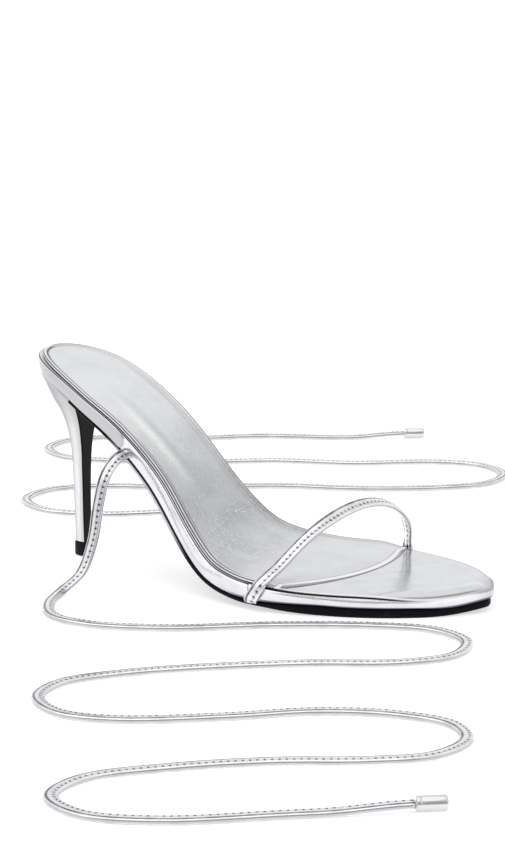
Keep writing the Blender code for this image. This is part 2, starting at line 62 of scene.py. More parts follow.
# The camera that the picture was taken with, fitted to the footbed's outline.
CAMERA_AZIMUTH = 31.32
CAMERA_ELEVATION = 11.55
CAMERA_DISTANCE = 1.09901
CAMERA_AIM = (-0.002322, -0.004323, 0.06194)
CAMERA_LENS = 113.35
CAMERA_SENSOR = 36.0
CAMERA_NEAR = 0.01

# The footbed down its middle: height of the covered board's top, rise of the inner edge over the
# outer one, and thickness of board and outsole. At the toe's tip the sole takes a little more of
# the whole than in the solids.
PROFILE = table(
    "along height roll board outsole",
    (0.0, 88.6, 0.0, 8.0, 1.4),
    (12.0, 84.9, 0.0, 6.4, 1.4),
    (25.0, 79.8, 0.0, 5.6, 1.4),
    (45.0, 68.3, 0.4, 6.3, 1.5),
    (60.0, 57.6, 1.2, 7.0, 1.6),
    (72.0, 47.8, 1.8, 7.3, 1.8),
    (90.0, 30.5, 2.3, 7.5, 2.0),
    (105.0, 18.2, 1.8, 7.8, 1.7),
    (112.0, 15.3, 1.3, 7.6, 1.8),
    (120.0, 13.0, 0.8, 7.4, 1.7),
    (130.0, 11.2, 0.3, 6.9, 1.7),
    (140.0, 9.9, 0.05, 5.8, 2.7),
    (155.0, 9.1, 0.0, 4.9, 3.6),
    (166.0, 8.8, 0.0, 5.1, 3.4),
    (186.0, 8.8, 0.0, 5.1, 3.4),
    (197.0, 9.7, 0.0, 6.2, 2.8),
    (208.4, 11.6, 0.0, 5.4, 3.0),
)
PROFILE_BLUR = 2.6
ROLL_ARM = 24.0

# Plan outline of the covered board, from the back of the seat along the outer edge to the toe and
# back along the inner edge.
OUTLINE = table(
    "along across",
    (1.6, 0.0), (4.0, -9.2), (10.0, -15.8), (20.0, -21.2), (35.0, -24.3), (55.0, -22.9),
    (75.0, -25.0), (95.0, -32.2), (112.0, -38.0), (128.0, -40.5), (146.0, -37.8), (164.0, -31.0),
    (181.0, -22.2), (194.5, -11.6), (203.4, -2.0), (208.4, 6.0), (206.9, 11.2), (203.4, 17.2),
    (198.7, 23.0), (191.0, 32.0), (184.0, 37.8), (175.0, 42.4), (165.0, 45.7), (156.0, 47.5),
    (148.0, 48.0), (141.0, 47.2), (135.0, 44.0), (129.5, 39.0), (124.0, 34.4), (117.5, 29.6),
    (111.0, 25.0), (104.0, 21.0), (97.0, 18.6), (90.0, 17.6), (80.0, 17.8), (72.0, 19.0),
    (62.0, 21.6), (50.0, 23.9), (35.0, 25.2), (20.0, 23.8), (10.0, 18.2), (4.0, 10.4),
)
OUTLINE_BLUR = 1.8

# Sides of the flat pieces from the lower edge up: inset from the outline, and level from the lower
# face (0) to the upper face (1).
BOARD_RIM = table(
    "inset level",
    (1.2, 0.0), (0.7, 0.12), (0.2, 0.4), (0.02, 0.66), (0.0, 0.8), (-0.02, 0.88), (0.0, 0.93),
    (0.12, 0.975), (0.45, 1.0), (0.9, 1.0), (1.6, 1.0), (2.4, 1.0), (3.4, 1.0), (4.6, 1.0),
)
SOCK_RIM = table(
    "inset level",
    (0.9, 0.0), (0.35, 0.5), (0.55, 1.05), (1.1, 1.25), (1.7, 1.05), (2.2, 0.8), (2.7, 0.88),
    (4.0, 1.0), (6.0, 1.0),
)
OUTSOLE_RIM = table(
    "inset level",
    (1.7, 0.0), (1.2, 0.18), (0.95, 0.45), (0.9, 0.8), (1.0, 1.0),
)

# The heel from its tip up: its back and flat front along the shoe, and its width.
TIP_HEIGHT = 6.0
BREAST_LINE = 27.5
BREAST_SHEET = 0.4
BREAST_HALF = 18.6
HEEL = table(
    "height back front width",
    (TIP_HEIGHT + GAP, 15.7, 21.8, 5.6),
    (22.0, 15.2, 21.5, 5.7),
    (34.0, 14.8, 21.5, 6.2),
    (45.0, 14.2, 21.7, 7.2),
    (51.0, 13.3, 21.9, 9.0),
    (58.0, 11.6, 22.4, 13.0),
    (64.0, 9.2, 23.2, 19.6),
    (68.6, 6.4, 24.6, 28.0),
    (73.0, 2.9, BREAST_LINE - GAP, 40.6),
)

# Middle lines of the strap and the ties.
TIE_WIDTH = 5.0
TIE_THICK = 2.0
FLOOR_GAP = 0.15
TIE_LIE = TIE_THICK / 2 + FLOOR_GAP
TOE_STRAP = table(
    "along across height",
    (126.5, -33.0, 3.65), (126.8, -39.4, 3.75), (127.6, -41.9, 5.2), (129.6, -42.3, 8.2),
    (131.6, -41.0, 11.6), (132.8, -37.0, 14.0), (133.6, -31.0, 16.3), (135.0, -23.6, 20.4),
    (136.8, -13.4, 25.5), (138.6, -2.8, 29.2), (140.4, 8.7, 31.8), (142.5, 20.4, 32.9),
    (144.2, 29.3, 32.1), (145.8, 36.8, 30.0), (147.2, 42.8, 26.6), (148.2, 46.8, 22.4),
    (148.5, 49.0, 17.6), (148.2, 50.0, 12.6), (147.8, 50.2, 8.6), (147.6, 49.4, 5.2),
    (147.6, 47.0, 3.75), (147.6, 40.6, 3.65),
)
STRAP_TURN = 0.72
STRAP_UNTURN = 0.34
STRAP_LEAN = 0.42
STRAP_WIDTH = 5.5
STRAP_THICK = 2.0
STRAP_POINTS = 300

# The ankle ties from their tucked ends down to the floor and along it, uncoiled. A row without a
# height lies on it. Their exits are in the row frame.
TIE_LENGTH = 940.0
TIE_END_RISE = 30.0
TIE_SPACING = 1.6
TIE_ROOT = 12.0
TIE_ROOT_FADE = 40.0
TIE_OUTER_EXIT = (-0.0501, -0.0274, 0.0514)
TIE_INNER_EXIT = (-0.0421, 0.0166, 0.0470)
TIE_OUTER = table(
    "along across height",
    (55.6, -15.4, 51.1), (55.4, -21.8, 51.5), (55.0, -28.3, 50.0), (54.6, -34.8, 44.8),
    (54.4, -39.6, 34.0), (54.2, -43.4, 20.0), (53.0, -50.4, 7.6), (50.6, -60.6, 2.1), (55.5, -75.8),
    (67.4, -89.6), (86.5, -92.0), (114.7, -80.7), (146.8, -56.5), (179.7, -37.6), (202.5, -30.7),
    (220.2, -38.7), (225.0, -58.0), (212.6, -76.1), (184.0, -94.6), (154.2, -118.7),
    (132.7, -141.1), (121.4, -160.9), (124.8, -179.9), (141.8, -190.6), (162.5, -186.2),
    (191.7, -164.9), (215.9, -143.1), (239.7, -132.2), (261.6, -131.7), (274.4, -145.0),
    (272.5, -164.9), (257.1, -180.1), (230.3, -197.6), (206.1, -219.3), (187.9, -243.3),
    (189.6, -263.3), (207.3, -271.3), (230.4, -263.1), (260.3, -239.0), (288.4, -216.1),
    (309.9, -199.5),
    defaults=(TIE_LIE,),
)
TIE_INNER = table(
    "along across height",
    (63.6, 11.4, 46.0), (63.2, 18.0, 47.0), (62.8, 24.6, 46.0), (62.4, 30.6, 40.6),
    (62.0, 34.8, 30.0), (61.6, 38.8, 17.0), (60.6, 46.0, 6.4), (58.2, 56.6, 2.1), (52.9, 78.4),
    (36.4, 88.2), (14.3, 84.1), (-12.6, 63.0), (-39.3, 55.0), (-59.7, 67.2), (-62.9, 89.8),
    (-47.4, 108.6), (-11.7, 126.8), (22.1, 152.1), (59.4, 167.8), (90.8, 189.2), (105.8, 208.9),
    (103.0, 230.6), (85.0, 243.0), (62.0, 238.4), (30.3, 215.6), (-7.0, 199.9), (-40.8, 174.7),
    (-73.6, 159.4), (-99.7, 154.0), (-117.7, 166.4), (-120.5, 188.2), (-105.0, 207.0),
    (-71.0, 224.2), (-41.6, 249.1), (-7.1, 265.4), (23.8, 287.7), (50.3, 298.0),
    defaults=(TIE_LIE,),
)
AGLET_RADIUS = 2.6
AGLET_LENGTH = 10.0

# Rises from zero to one: where each starts, and its length, negative where it runs back.
Rise = namedtuple("Rise", "start length")

# Low bells in a surface. On a strap, from -1 to 1 across it, they are the stitched groove and the
# line beside the rolled edge.
Ridge = namedtuple("Ridge", "at spread height")
GROOVE = Ridge(0.38, 0.13, 0.26)
PIPE = Ridge(-0.58, 0.09, 0.16)
STITCH_PITCH = 2.4
STITCH_HALF = 0.84
STITCH_START = 4 * STITCH_PITCH
STITCH_RINGS = 7
STITCH_SIDES = 8
STITCH_WIDE = 0.30
STITCH_HIGH = 0.20
STITCH_SINK = 0.20
STITCH_DIP = 0.10
STITCH_BLUNT = 0.97

PATH_STEPS = 24
OUTLINE_POINTS = 4000


def column(rows, name):
    """One named column of a table."""
    return np.array([getattr(row, name) for row in rows])


def eased(at, known_at, known):
    """Cubic pieces through the known values, each slope the harmonic mean of its two neighbours."""
    step = np.diff(known_at)
    rise = np.diff(known) / step
    before = 2 * step[1:] + step[:-1]
    after = step[1:] + 2 * step[:-1]
    same = rise[:-1] * rise[1:] > 0
    safe = np.where(same[:, None], np.stack([rise[:-1], rise[1:]], 1), 1.0)
    mean = (before + after) / (before / safe[:, 0] + after / safe[:, 1])
    slope = np.hstack([rise[:1], np.where(same, mean, 0.0), rise[-1:]])
    k = np.clip(np.searchsorted(known_at, at) - 1, 0, len(step) - 1)
    t = np.clip((at - known_at[k]) / step[k], 0.0, 1.0)
    beyond = at - np.clip(at, known_at[0], known_at[-1])
    bend_a = slope[k] * step[k]
    bend_b = slope[k + 1] * step[k]
    gain = known[k + 1] - known[k]
    cubic = bend_a + bend_b - 2 * gain
    square = 3 * gain - 2 * bend_a - bend_b
    value = known[k] + t * (bend_a + t * (square + t * cubic))
    tangent = (bend_a + t * (2 * square + 3 * t * cubic)) / step[k]
    return value + beyond * tangent


def bell(spread, step):
    """Weights of a bell curve of that spread, summing to one."""
    reach = np.arange(-4 * spread, 4 * spread + step / 2, step)
    weight = np.exp(-((reach / spread) ** 2) / 2)
    return weight / weight.sum()


FINE = 0.1
FINE_AT = np.arange(-30.0, 240.0, FINE)
FINE_CURVES = {
    name: np.convolve(
        eased(FINE_AT, column(PROFILE, "along"), column(PROFILE, name)),
        bell(PROFILE_BLUR, FINE),
        "same",
    )
    for name in ("height", "roll", "board", "outsole")
}
FINE_CURVES["slope"] = np.gradient(FINE_CURVES["height"], FINE)


def profile(along, name):
    """A column of the footbed's table along the shoe, blurred by a bell so that it bends softly."""
    return np.interp(along, FINE_AT, FINE_CURVES[name])


def last_point(along, across, offset):
    """A point over the footbed in plan, moved square to the footbed's slope by the offset."""
    slope = profile(along, "slope")
    length = np.sqrt(1 + slope**2)
    x = along - offset * slope / length
    z = profile(along, "height") + profile(along, "roll") * across / ROLL_ARM + offset / length
    return np.stack([x, across + 0 * z, z], axis=-1)


def smooth_path(points, fine=PATH_STEPS):
    """A dense curve through the points: Hermite pieces whose tangents come from both neighbours."""
    points = np.asarray(points, float)
    gaps = np.sqrt(np.linalg.norm(np.diff(points, axis=0), axis=1))
    knots = np.hstack([[0.0], np.cumsum(gaps)])
    tangent = np.gradient(points, knots, axis=0)
    t = np.linspace(0.0, 1.0, fine, endpoint=False)[None, :, None]
    span = np.diff(knots)[:, None, None]
    dense = (
        (1 + 2 * t) * (1 - t) ** 2 * points[:-1, None]
        + t * (1 - t) ** 2 * span * tangent[:-1, None]
        + t**2 * (3 - 2 * t) * points[1:, None]
        + t**2 * (t - 1) * span * tangent[1:, None]
    )
    return np.vstack([dense.reshape(-1, points.shape[1]), points[-1:]])


def run_of(path):
    """Distance along a path at each of its points."""
    return np.hstack([[0.0], np.cumsum(np.linalg.norm(np.diff(path, axis=0), axis=1))])


def along_path(path, distances):
    """Points of a path at the given distances along it."""
    run = run_of(path)
    return np.stack([np.interp(distances, run, path[:, i]) for i in range(path.shape[1])], 1)


def unit(vectors):
    """The same directions at length one."""
    return vectors / np.linalg.norm(vectors, axis=-1, keepdims=True)


def smoothstep(value):
    """A smooth rise from zero at 0 to one at 1."""
    t = np.clip(value, 0.0, 1.0)
    return t * t * (3 - 2 * t)


def ramp_of(rise, value):
    """Share of a rise at a value, in a straight line."""
    return np.clip((value - rise.start) / rise.length, 0.0, 1.0)


def rise_of(rise, value):
    """Share of a rise at a value, smooth at both ends."""
    return smoothstep((value - rise.start) / rise.length)


def hump(value, centre, spread):
    """A bell of height one: e to the minus square of the distance from its centre, in spreads."""
    return np.exp(-(((value - centre) / spread) ** 2))


def bell_of(ridge, value):
    """Height of a ridge at a value: its bell times its own height."""
    return ridge.height * hump(value, ridge.at, ridge.spread)


def outline_sides():
    """The outer and inner edges from seat to toe, as x, y and inward normal.

    The closed outline is resampled evenly and blurred round its loop by a bell curve.
    """
    loop = np.array(OUTLINE)
    turn = np.vstack([loop[-3:], loop, loop[:4]])
    dense = smooth_path(turn)[3 * PATH_STEPS : -3 * PATH_STEPS]
    length = run_of(dense)[-1]
    even = along_path(dense, np.linspace(0.0, length, OUTLINE_POINTS + 1))[:-1]
    weight = bell(OUTLINE_BLUR, length / OUTLINE_POINTS)
    reach = len(weight) // 2
    padded = np.vstack([even[-reach:], even, even[:reach]])
    soft = np.stack([np.convolve(padded[:, i], weight, "valid") for i in range(2)], 1)
    seat = int(np.argmin(soft[:, 0]))
    soft = np.roll(soft, -seat, axis=0)
    soft = np.vstack([soft, soft[:1]])
    heading = np.gradient(soft, axis=0)
    heading[0] = heading[-1] = (0.0, -1.0)
    inward = unit(np.stack([-heading[:, 1], heading[:, 0]], 1))
    toe = int(np.argmax(soft[:, 0]))
    rows = np.hstack([soft, inward])
    return rows[: toe + 1], rows[toe:][::-1]


OUTER, INNER = outline_sides()

# Places past either end of the shoe, for a piece that runs its whole length.
PAST_SEAT = -99.0
PAST_TOE = 999.0
END_CROWD = 3.0
END_SPREAD = 9.0


def rows_at(side, run, at):
    """Rows of an edge at the given distances along it, with inward normals of length one."""
    rows = np.stack([np.interp(at, run, side[:, i]) for i in range(4)], 1)
    rows[:, 2:] = unit(rows[:, 2:])
    return rows


def side_rows(side, start, end, count):
    """Rows of an edge between two places along the shoe, spaced evenly by a sum that grows faster
    under a bell at each of its round ends."""
    run = run_of(side[:, :2])
    crowd = 1.0 + END_CROWD * (hump(run, 0.0, END_SPREAD) + hump(run, run[-1], END_SPREAD))
    share = np.hstack([[0.0], np.cumsum(np.diff(run) * (crowd[1:] + crowd[:-1]) / 2)])
    ends = np.interp(np.interp([start, end], side[:, 0], run), run, share)
    return rows_at(side, run, np.interp(np.linspace(ends[0], ends[1], count), share, run))


def both_sides(start, count):
    """Rows of the outer and the inner edge from a place along the shoe to the toe."""
    return [side_rows(side, start, PAST_TOE, count) for side in (OUTER, INNER)]


def edge_rows(side, places):
    """Rows of an edge at the given places along the shoe."""
    run = run_of(side[:, :2])
    return rows_at(side, run, np.interp(places, side[:, 0], run))


def in_frame(points):
    """Points of the shoe's plan in the row frame."""
    return (points - (FRAME_X, FRAME_Y, 0.0)) * MM


def add_object(name, data):
    """An object of that mesh, light or camera in the scene."""
    made = bpy.data.objects.new(name, data)
    bpy.context.scene.collection.objects.link(made)
    return made


def add_mesh(name, finish, points, faces, surface=None):
    """One piece: points in the shoe's plan, faces as lists of point numbers, an optional surface
    attribute of three numbers a point for its finish, and smooth shading."""
    mesh = bpy.data.meshes.new(name)
    mesh.from_pydata(in_frame(points.reshape(-1, 3)), [], faces)
    if surface is not None:
        layer = mesh.attributes.new("surface", "FLOAT_VECTOR", "POINT")
        layer.data.foreach_set("vector", surface.reshape(-1).astype(np.float32))
    mesh.shade_smooth()
    mesh.materials.append(finish)
    return add_object(name, mesh)


def ring_faces(rings, around):
    """Quads between closed rings of points that follow each other."""
    i, j = np.meshgrid(np.arange(rings - 1), np.arange(around), indexing="ij")
    k = (j + 1) % around
    near, far = i * around, (i + 1) * around
    return np.stack([near + j, near + k, far + k, far + j], -1).reshape(-1, 4)


WELD = 0.004
STITCH_WELD = 0.0005


def weld(piece, distance):
    """Merges the points that a piece repeats at its closed ends, and turns its faces outwards."""
    work = bmesh.new()
    work.from_mesh(piece.data)
    bmesh.ops.remove_doubles(work, verts=work.verts, dist=distance * MM)
    bmesh.ops.recalc_face_normals(work, faces=work.faces)
    work.to_mesh(piece.data)
    work.free()
    return piece


def loft(name, finish, points, surface=None, caps=None, sharp=None):
    """A closed piece from a grid of rings: quads between the rings, and one face over each end
    where no caps are given. Edges that turn by more than the sharp angle are creased."""
    rings, around = points.shape[:2]
    if caps is None:
        last = (rings - 1) * around
        caps = [list(range(around)), list(range(last, last + around))]
    faces = ring_faces(rings, around).tolist() + caps
    piece = weld(add_mesh(name, finish, points, faces, surface), WELD)
    if sharp is not None:
        piece.data.set_sharp_from_angle(angle=sharp)
    return piece


RIM_STEPS = 5
OPEN_END = 0.1


def slab(
    name, finish, outer, inner, rim, lower, upper, across, pull,
    bow=None, thin=None, ahead=None, relief=None,
):
    """A flat piece of the sole as one closed loft over the footbed.

    At each station a section runs along the lower face from the outer edge to the inner one, up the
    inner rim, back over the upper face and down the outer rim. A rim point is the edge's point,
    moved inwards by its inset and the pull, at its level between the lower and the upper offset.
    Bow pushes a section's middle along the shoe, thin draws it down to its lower face, ahead is its
    distance from the front edge, and relief adds soft height to the upper face.
    """
    inset, level = smooth_path(np.array(rim), RIM_STEPS).T
    t = np.linspace(0.0, 1.0, across)
    sides = []
    for rows in (outer, inner):
        reach = inset[None] + pull(rows[:, :1], level[None])
        sides.append(rows[:, None, :2] + reach[..., None] * rows[:, None, 2:])
    a, b = sides
    low = a[:, :1] + (b[:, :1] - a[:, :1]) * t[None, :, None]
    top = b[:, -1:] + (a[:, -1:] - b[:, -1:]) * t[None, :, None]
    if bow is not None:
        arch = bow[:, None] * (1 - (2 * t[None] - 1) ** 2)
        low[..., 0] += arch
        top[..., 0] += arch
    plan = np.hstack([low, b[:, 1:-1], top, a[:, 1:-1][:, ::-1]])
    flat = np.ones(across)
    climb = level[1:-1]
    height = np.hstack([level[0] * flat, climb, level[-1] * flat, climb[::-1]])[None]
    share = np.hstack([0 * t, 0 * climb, t, 0 * climb])[None]
    width = np.linalg.norm(a[:, -1] - b[:, -1], axis=1)[:, None]
    middle = np.where(t < 0.5, t, t - 1)[None] * width
    edge_top = np.where(t < 0.5, middle + inset[-1], middle - inset[-1])
    rim_edge = np.ones((len(outer), 1)) * inset[None, 1:-1]
    edge = np.hstack([0 * edge_top, rim_edge, edge_top, -rim_edge[:, ::-1]])
    x, y = plan[..., 0], plan[..., 1]
    under = lower(x)
    offset = under + (upper(x) - under) * height
    if relief is not None:
        offset = offset + relief(x, y, edge, height, share)
    if thin is not None:
        offset = under + (offset - under) * thin[:, None]
    points = last_point(x, y, offset)
    points[..., 2] = np.maximum(points[..., 2], 0.0)
    count, around = x.shape
    strip = np.arange(across - 1)
    last = 2 * across + len(climb) - 1
    cap = np.stack([strip, strip + 1, last - 1 - strip, last - strip], 1).tolist()
    cap.append(list(range(across - 1, across + len(climb) + 1)))
    cap.append([0, *range(last, last + len(climb) + 1)])
    ends = [i for i in (0, count - 1) if np.linalg.norm(a[i, 0] - b[i, 0]) > OPEN_END]
    caps = [[i * around + corner for corner in face] for i in ends for face in cap]
    station = x if ahead is None else ahead[:, None] + 0 * x
    return loft(name, finish, points, np.stack([station, np.abs(edge), height + 0 * x], -1), caps)


# The rear wrap of the board's side, which ends in a rounded tongue a step proud of the waist.
WRAP_END = 54.2
WRAP_REACH = 3.0
WRAP_STEP = 0.5
WRAP_ROUND = 0.7
TONGUE_LEVEL = 0.35
TONGUE_HALF = 0.55
SEAT_UNDERCUT = 2.6
UNDERCUT_REACH = 18.0
WAIST_FADE = Rise(112.0, -30.0)
STEP_TOP = Rise(0.93, -0.06)

# The seam under the board's upper edge, its sag at the waist, and the bead on that edge in front.
SEAM = Ridge(0.965, 0.022, 0.22)
SEAM_SAG = Ridge(85.0, 24.0, 0.025)
SEAM_FADE = Rise(196.0, -26.0)
BEAD = Ridge(-1.7, 1.0, 0.34)
BEAD_START = Rise(136.0, 5.0)
BEAD_FADE = Rise(192.0, -30.0)

TOE_ROLL = 1.2
TOE_ROLL_START = Rise(163.0, 33.0)
TOE_ROLL_EDGE = Rise(0.6, 9.0)
TOE_ROUND = 1.6
TOE_ROUND_REACH = 1.8
TOE_ROUND_START = Rise(172.0, 26.0)
INNER_HALF = Rise(4.0, 14.0)
TOP_LEVEL = 0.999
BOARD_STATIONS = 390
BOARD_ACROSS = 33


def board_under(x):
    """Offset of the board's underside from the footbed."""
    return -profile(x, "board")


def toe_roll(x):
    """Fall of the toe's rolled edge under the footbed's middle."""
    return TOE_ROLL * rise_of(TOE_ROLL_START, x)


def wrap_pull(x, level):
    """Undercut of the seat's back, the step from the rear wrap's rounded tongue to the waist, and a
    fine seam just under the upper edge."""
    tuck = SEAT_UNDERCUT * (1 - level) * np.clip(1 - x / UNDERCUT_REACH, 0.0, 1.0)
    bend = np.clip(1 - ((level - TONGUE_LEVEL) / TONGUE_HALF) ** 2, 0.0, 1.0)
    tongue = WRAP_END + WRAP_REACH * np.sqrt(bend)
    step = WRAP_STEP * smoothstep((x - tongue) / WRAP_ROUND + 0.5)
    step = step * ramp_of(WAIST_FADE, x)
    seam = bell_of(SEAM, level + bell_of(SEAM_SAG, x)) * rise_of(SEAM_FADE, x)
    return tuck + step * rise_of(STEP_TOP, level) + seam


def board_relief(x, y, edge, level, _share):
    """A low bead along the upper outer edge, fading to the tip, where that edge is a soft round
    that falls off inwards as e to the minus distance."""
    inward = np.abs(edge)
    bead = bell_of(BEAD, edge) * rise_of(BEAD_START, x) * rise_of(BEAD_FADE, x)
    kept = rise_of(INNER_HALF, y)
    rolled = np.maximum(rise_of(TOE_ROLL_EDGE, inward), kept)
    soft = TOE_ROUND * np.exp(-inward / TOE_ROUND_REACH) * rise_of(TOE_ROUND_START, x)
    top = level >= TOP_LEVEL
    roll = toe_roll(x) * np.where(top, rolled, kept * level)
    return bead * top + roll - soft * level**3 * (1 - kept)


def make_board(finish):
    """The covered board, as a slab from the footbed down by the board's thickness."""
    return slab(
        "footbed_cover", finish, *both_sides(PAST_SEAT, BOARD_STATIONS),
        BOARD_RIM, board_under, lambda x: -toe_roll(x), BOARD_ACROSS, wrap_pull,
        relief=board_relief,
    )


SOCK_GAP = 0.1
SOCK_THICK = 1.3
SOCK_CROWN = 0.4
SOCK_OUTER_END = 138.5
SOCK_INNER_END = 149.0
SOCK_BOW = 10.0
SOCK_SKIVE = 0.8
SOCK_TAPER = Rise(0.0, 11.0)
SOCK_FRONT = 0.22
SOCK_LIP = 0.1
SEAT_INSET = 1.3
SEAT_FADE = Rise(45.0, -45.0)
SOCK_STATIONS = 300
SOCK_ACROSS = 41
FRONT_STEPS = 12
EDGE_BAND = Ridge(5.2, 1.6, 0.22)
BAND_START = Rise(20.0, 16.0)
BAND_FADE = Rise(128.0, -20.0)
PADDED = Rise(3.0, 3.0)

# What the padding pushes up or lets sink: a bell along and a bell across, leaning with the shoe.
Padding = namedtuple("Padding", "height along spread across half lean")
SOCK_PADDING = (
    Padding(0.30, 62.0, 24.0, -11.12, 3.4, 0.06),
    Padding(-0.28, 84.0, 26.0, 1.0, 9.0, 0.0),
)


def sock_relief(x, y, edge, _level, share):
    """The sock's crown, its padding's ridge and hollow, and a faint band inside its inner edge."""
    padding = sum(
        pad.height * hump(y + pad.lean * (x - pad.along), pad.across, pad.half)
        * hump(x, pad.along, pad.spread)
        for pad in SOCK_PADDING
    )
    crown = SOCK_CROWN * (1 - (2 * share - 1) ** 4)
    inside = rise_of(PADDED, np.abs(edge))
    band = bell_of(EDGE_BAND, edge) * rise_of(BAND_START, x) * rise_of(BAND_FADE, x)
    return (crown + padding * inside - band) * (share > 0)


def make_sock(finish):
    """The sock: even over the seat and waist, then skived thin to a front edge that is a quarter
    round."""
    turn = np.linspace(0.0, math.pi / 2, FRONT_STEPS)[1:]
    tail = SOCK_SKIVE * (np.sin(turn) - 1.0)
    sides = []
    for side, end in ((OUTER, SOCK_OUTER_END), (INNER, SOCK_INNER_END)):
        body = side_rows(side, PAST_SEAT, end - SOCK_SKIVE, SOCK_STATIONS)
        sides.append(np.vstack([body, edge_rows(side, end + tail)]))
    share = np.hstack([np.linspace(0.0, 1.0, SOCK_STATIONS), np.ones(len(turn))])
    ahead = SOCK_OUTER_END - sides[0][:, 0]
    taper = SOCK_FRONT + (1 - SOCK_FRONT) * rise_of(SOCK_TAPER, ahead)
    thin = taper * np.hstack([np.ones(SOCK_STATIONS), SOCK_LIP + (1 - SOCK_LIP) * np.cos(turn)])
    return slab(
        "sock_lining", finish, *sides, SOCK_RIM,
        lambda x: SOCK_GAP + 0 * x, lambda x: SOCK_GAP + SOCK_THICK + 0 * x, SOCK_ACROSS,
        lambda x, level: SEAT_INSET * rise_of(SEAT_FADE, x) + 0 * level,
        bow=SOCK_BOW * share**3, thin=thin, ahead=ahead, relief=sock_relief,
    )


OUTSOLE_SET_BACK = 3.6
WAIST_INSET = 0.5
WAIST_OPEN = Rise(125.0, -40.0)
TOE_SET_BACK = 1.2
TOE_DRAWN = Rise(188.0, 18.0)
OUTSOLE_STATIONS = 330
OUTSOLE_ACROSS = 25


def make_outsole(finish):
    """The black sole under the board from the heel to the toe, drawn in at waist and toe."""

    def top(x):
        return board_under(x) - GAP

    def bottom(x):
        return top(x) - profile(x, "outsole")

    def waist(x, level):
        back = TOE_SET_BACK * rise_of(TOE_DRAWN, x)
        return WAIST_INSET * ramp_of(WAIST_OPEN, x) + back + 0 * level

    return slab(
        "sole_black", finish, *both_sides(BREAST_LINE + OUTSOLE_SET_BACK, OUTSOLE_STATIONS),
        OUTSOLE_RIM, bottom, top, OUTSOLE_ACROSS, waist,
    )


SEAT_TRIES = 6


def seat_under(x, y):
    """Height of the board's underside over a point in plan, less the gap, by stepping back the
    slope."""
    foot = np.array(x, float)
    for _ in range(SEAT_TRIES):
        point = last_point(foot, y, board_under(foot) - GAP)
        foot = foot + (x - point[..., 0])
    return last_point(foot, y, board_under(foot) - GAP)[..., 2]


HEEL_BLUR = 1.8
HEEL_FINE = 1200
HEEL_PAST = 12.0
HEEL_BEND = 66.0
HEEL_BEND_POWER = 1.6
HEEL_STATIONS = 150
HEEL_ROUND = 57
HEEL_CORNER = 0.35
CORNER_STEPS = 6
BREAST_STATIONS = 110
BREAST_ROUND = 9
BREAST_ACROSS = 15
BREAST_LIP = 0.6
BREAST_MARGIN = 0.15
BREAST_CLEAR = 0.05


def heel_rows(count):
    """Heights up the heel with its back, front and half width there, blurred by a bell curve."""
    known = column(HEEL, "height")
    fine = np.linspace(known[0] - HEEL_PAST, known[-1] + HEEL_PAST, HEEL_FINE)
    weight = bell(HEEL_BLUR, fine[1] - fine[0])
    height = np.linspace(known[0], known[-1], count)
    back, front, width = (
        np.interp(height, fine, np.convolve(eased(fine, known, column(HEEL, name)), weight, "same"))
        for name in ("back", "front", "width")
    )
    return [values[:, None] for values in (height, back, front, width / 2)]


def lift_to_seat(height, x, y):
    """Heights up the heel, bent over its last stretch to meet the underside of the seat."""
    top = HEEL[-1].height
    share = ramp_of(Rise(HEEL_BEND, top - HEEL_BEND), height) ** HEEL_BEND_POWER
    return height + share * (seat_under(x, y) - top)


def heel_section(back, front, half, corner, count):
    """Half an ellipse round the back, closed by a flat front whose corners are quarter rounds, with
    the share round it from -1 to 1."""
    angle = np.linspace(-math.pi / 2, math.pi / 2, count)[None]
    turn = np.linspace(0.0, math.pi / 2, CORNER_STEPS)[None, 1:]
    bent = corner * np.sin(turn)
    inset = corner * (1 - np.cos(turn))
    flat = front - corner
    x = np.hstack([flat - (flat - back) * np.cos(angle), flat + bent, flat + bent[:, ::-1]])
    y = np.hstack([half * np.sin(angle), half - inset, inset[:, ::-1] - half])
    return x, y, np.hstack([angle / (math.pi / 2), 1 + 0 * turn, 0 * turn - 1])


def make_heel(finish):
    """The heel: its section at each height, as deep and wide as its table says."""
    height, back, front, half = heel_rows(HEEL_STATIONS)
    front = front - BREAST_SHEET - BREAST_CLEAR
    x, y, share = heel_section(back, front, half, HEEL_CORNER, HEEL_ROUND)
    z = lift_to_seat(height + 0 * x, x, y)
    surface = np.stack([z[-1:] - z, share + 0 * z, z], -1)
    return loft("heel_cover", finish, np.stack([x, y, z], -1), surface, sharp=0.8)


def make_breast(finish):
    """The black front of the heel: a thin sheet, round at its long edges, over the flat front."""
    height, _, front, half = heel_rows(BREAST_STATIONS)
    turn = np.linspace(-math.pi / 2, math.pi / 2, BREAST_ROUND)[None]
    across = np.linspace(-1.0, 1.0, BREAST_ACROSS)[None]
    depth = BREAST_SHEET / 2
    lip = depth * BREAST_LIP
    flat = np.minimum(half - BREAST_MARGIN, BREAST_HALF) - lip
    bulge = lip * np.cos(turn)
    bend = depth * np.sin(turn)
    y = np.hstack([across * flat, flat + bulge, -across * flat, -flat - bulge])
    x = np.hstack([0 * across - depth, bend, 0 * across + depth, -bend]) + front - depth
    z = lift_to_seat(height + 0 * x, x, y)
    return loft("breast_cover", finish, np.stack([x, y, z], -1), sharp=0.9)


TIP_MARGIN = 0.5
TIP_FRONT = 0.6
TIP_CORNER = 0.5
TIP_ROUND = 41
TIP = table(
    "height grow",
    (0.0, -0.15), (0.12, 0.15), (0.35, 0.38), (0.7, TIP_MARGIN), (TIP_HEIGHT - 0.7, TIP_MARGIN),
    (TIP_HEIGHT - 0.3, 0.42), (TIP_HEIGHT, 0.15),
)


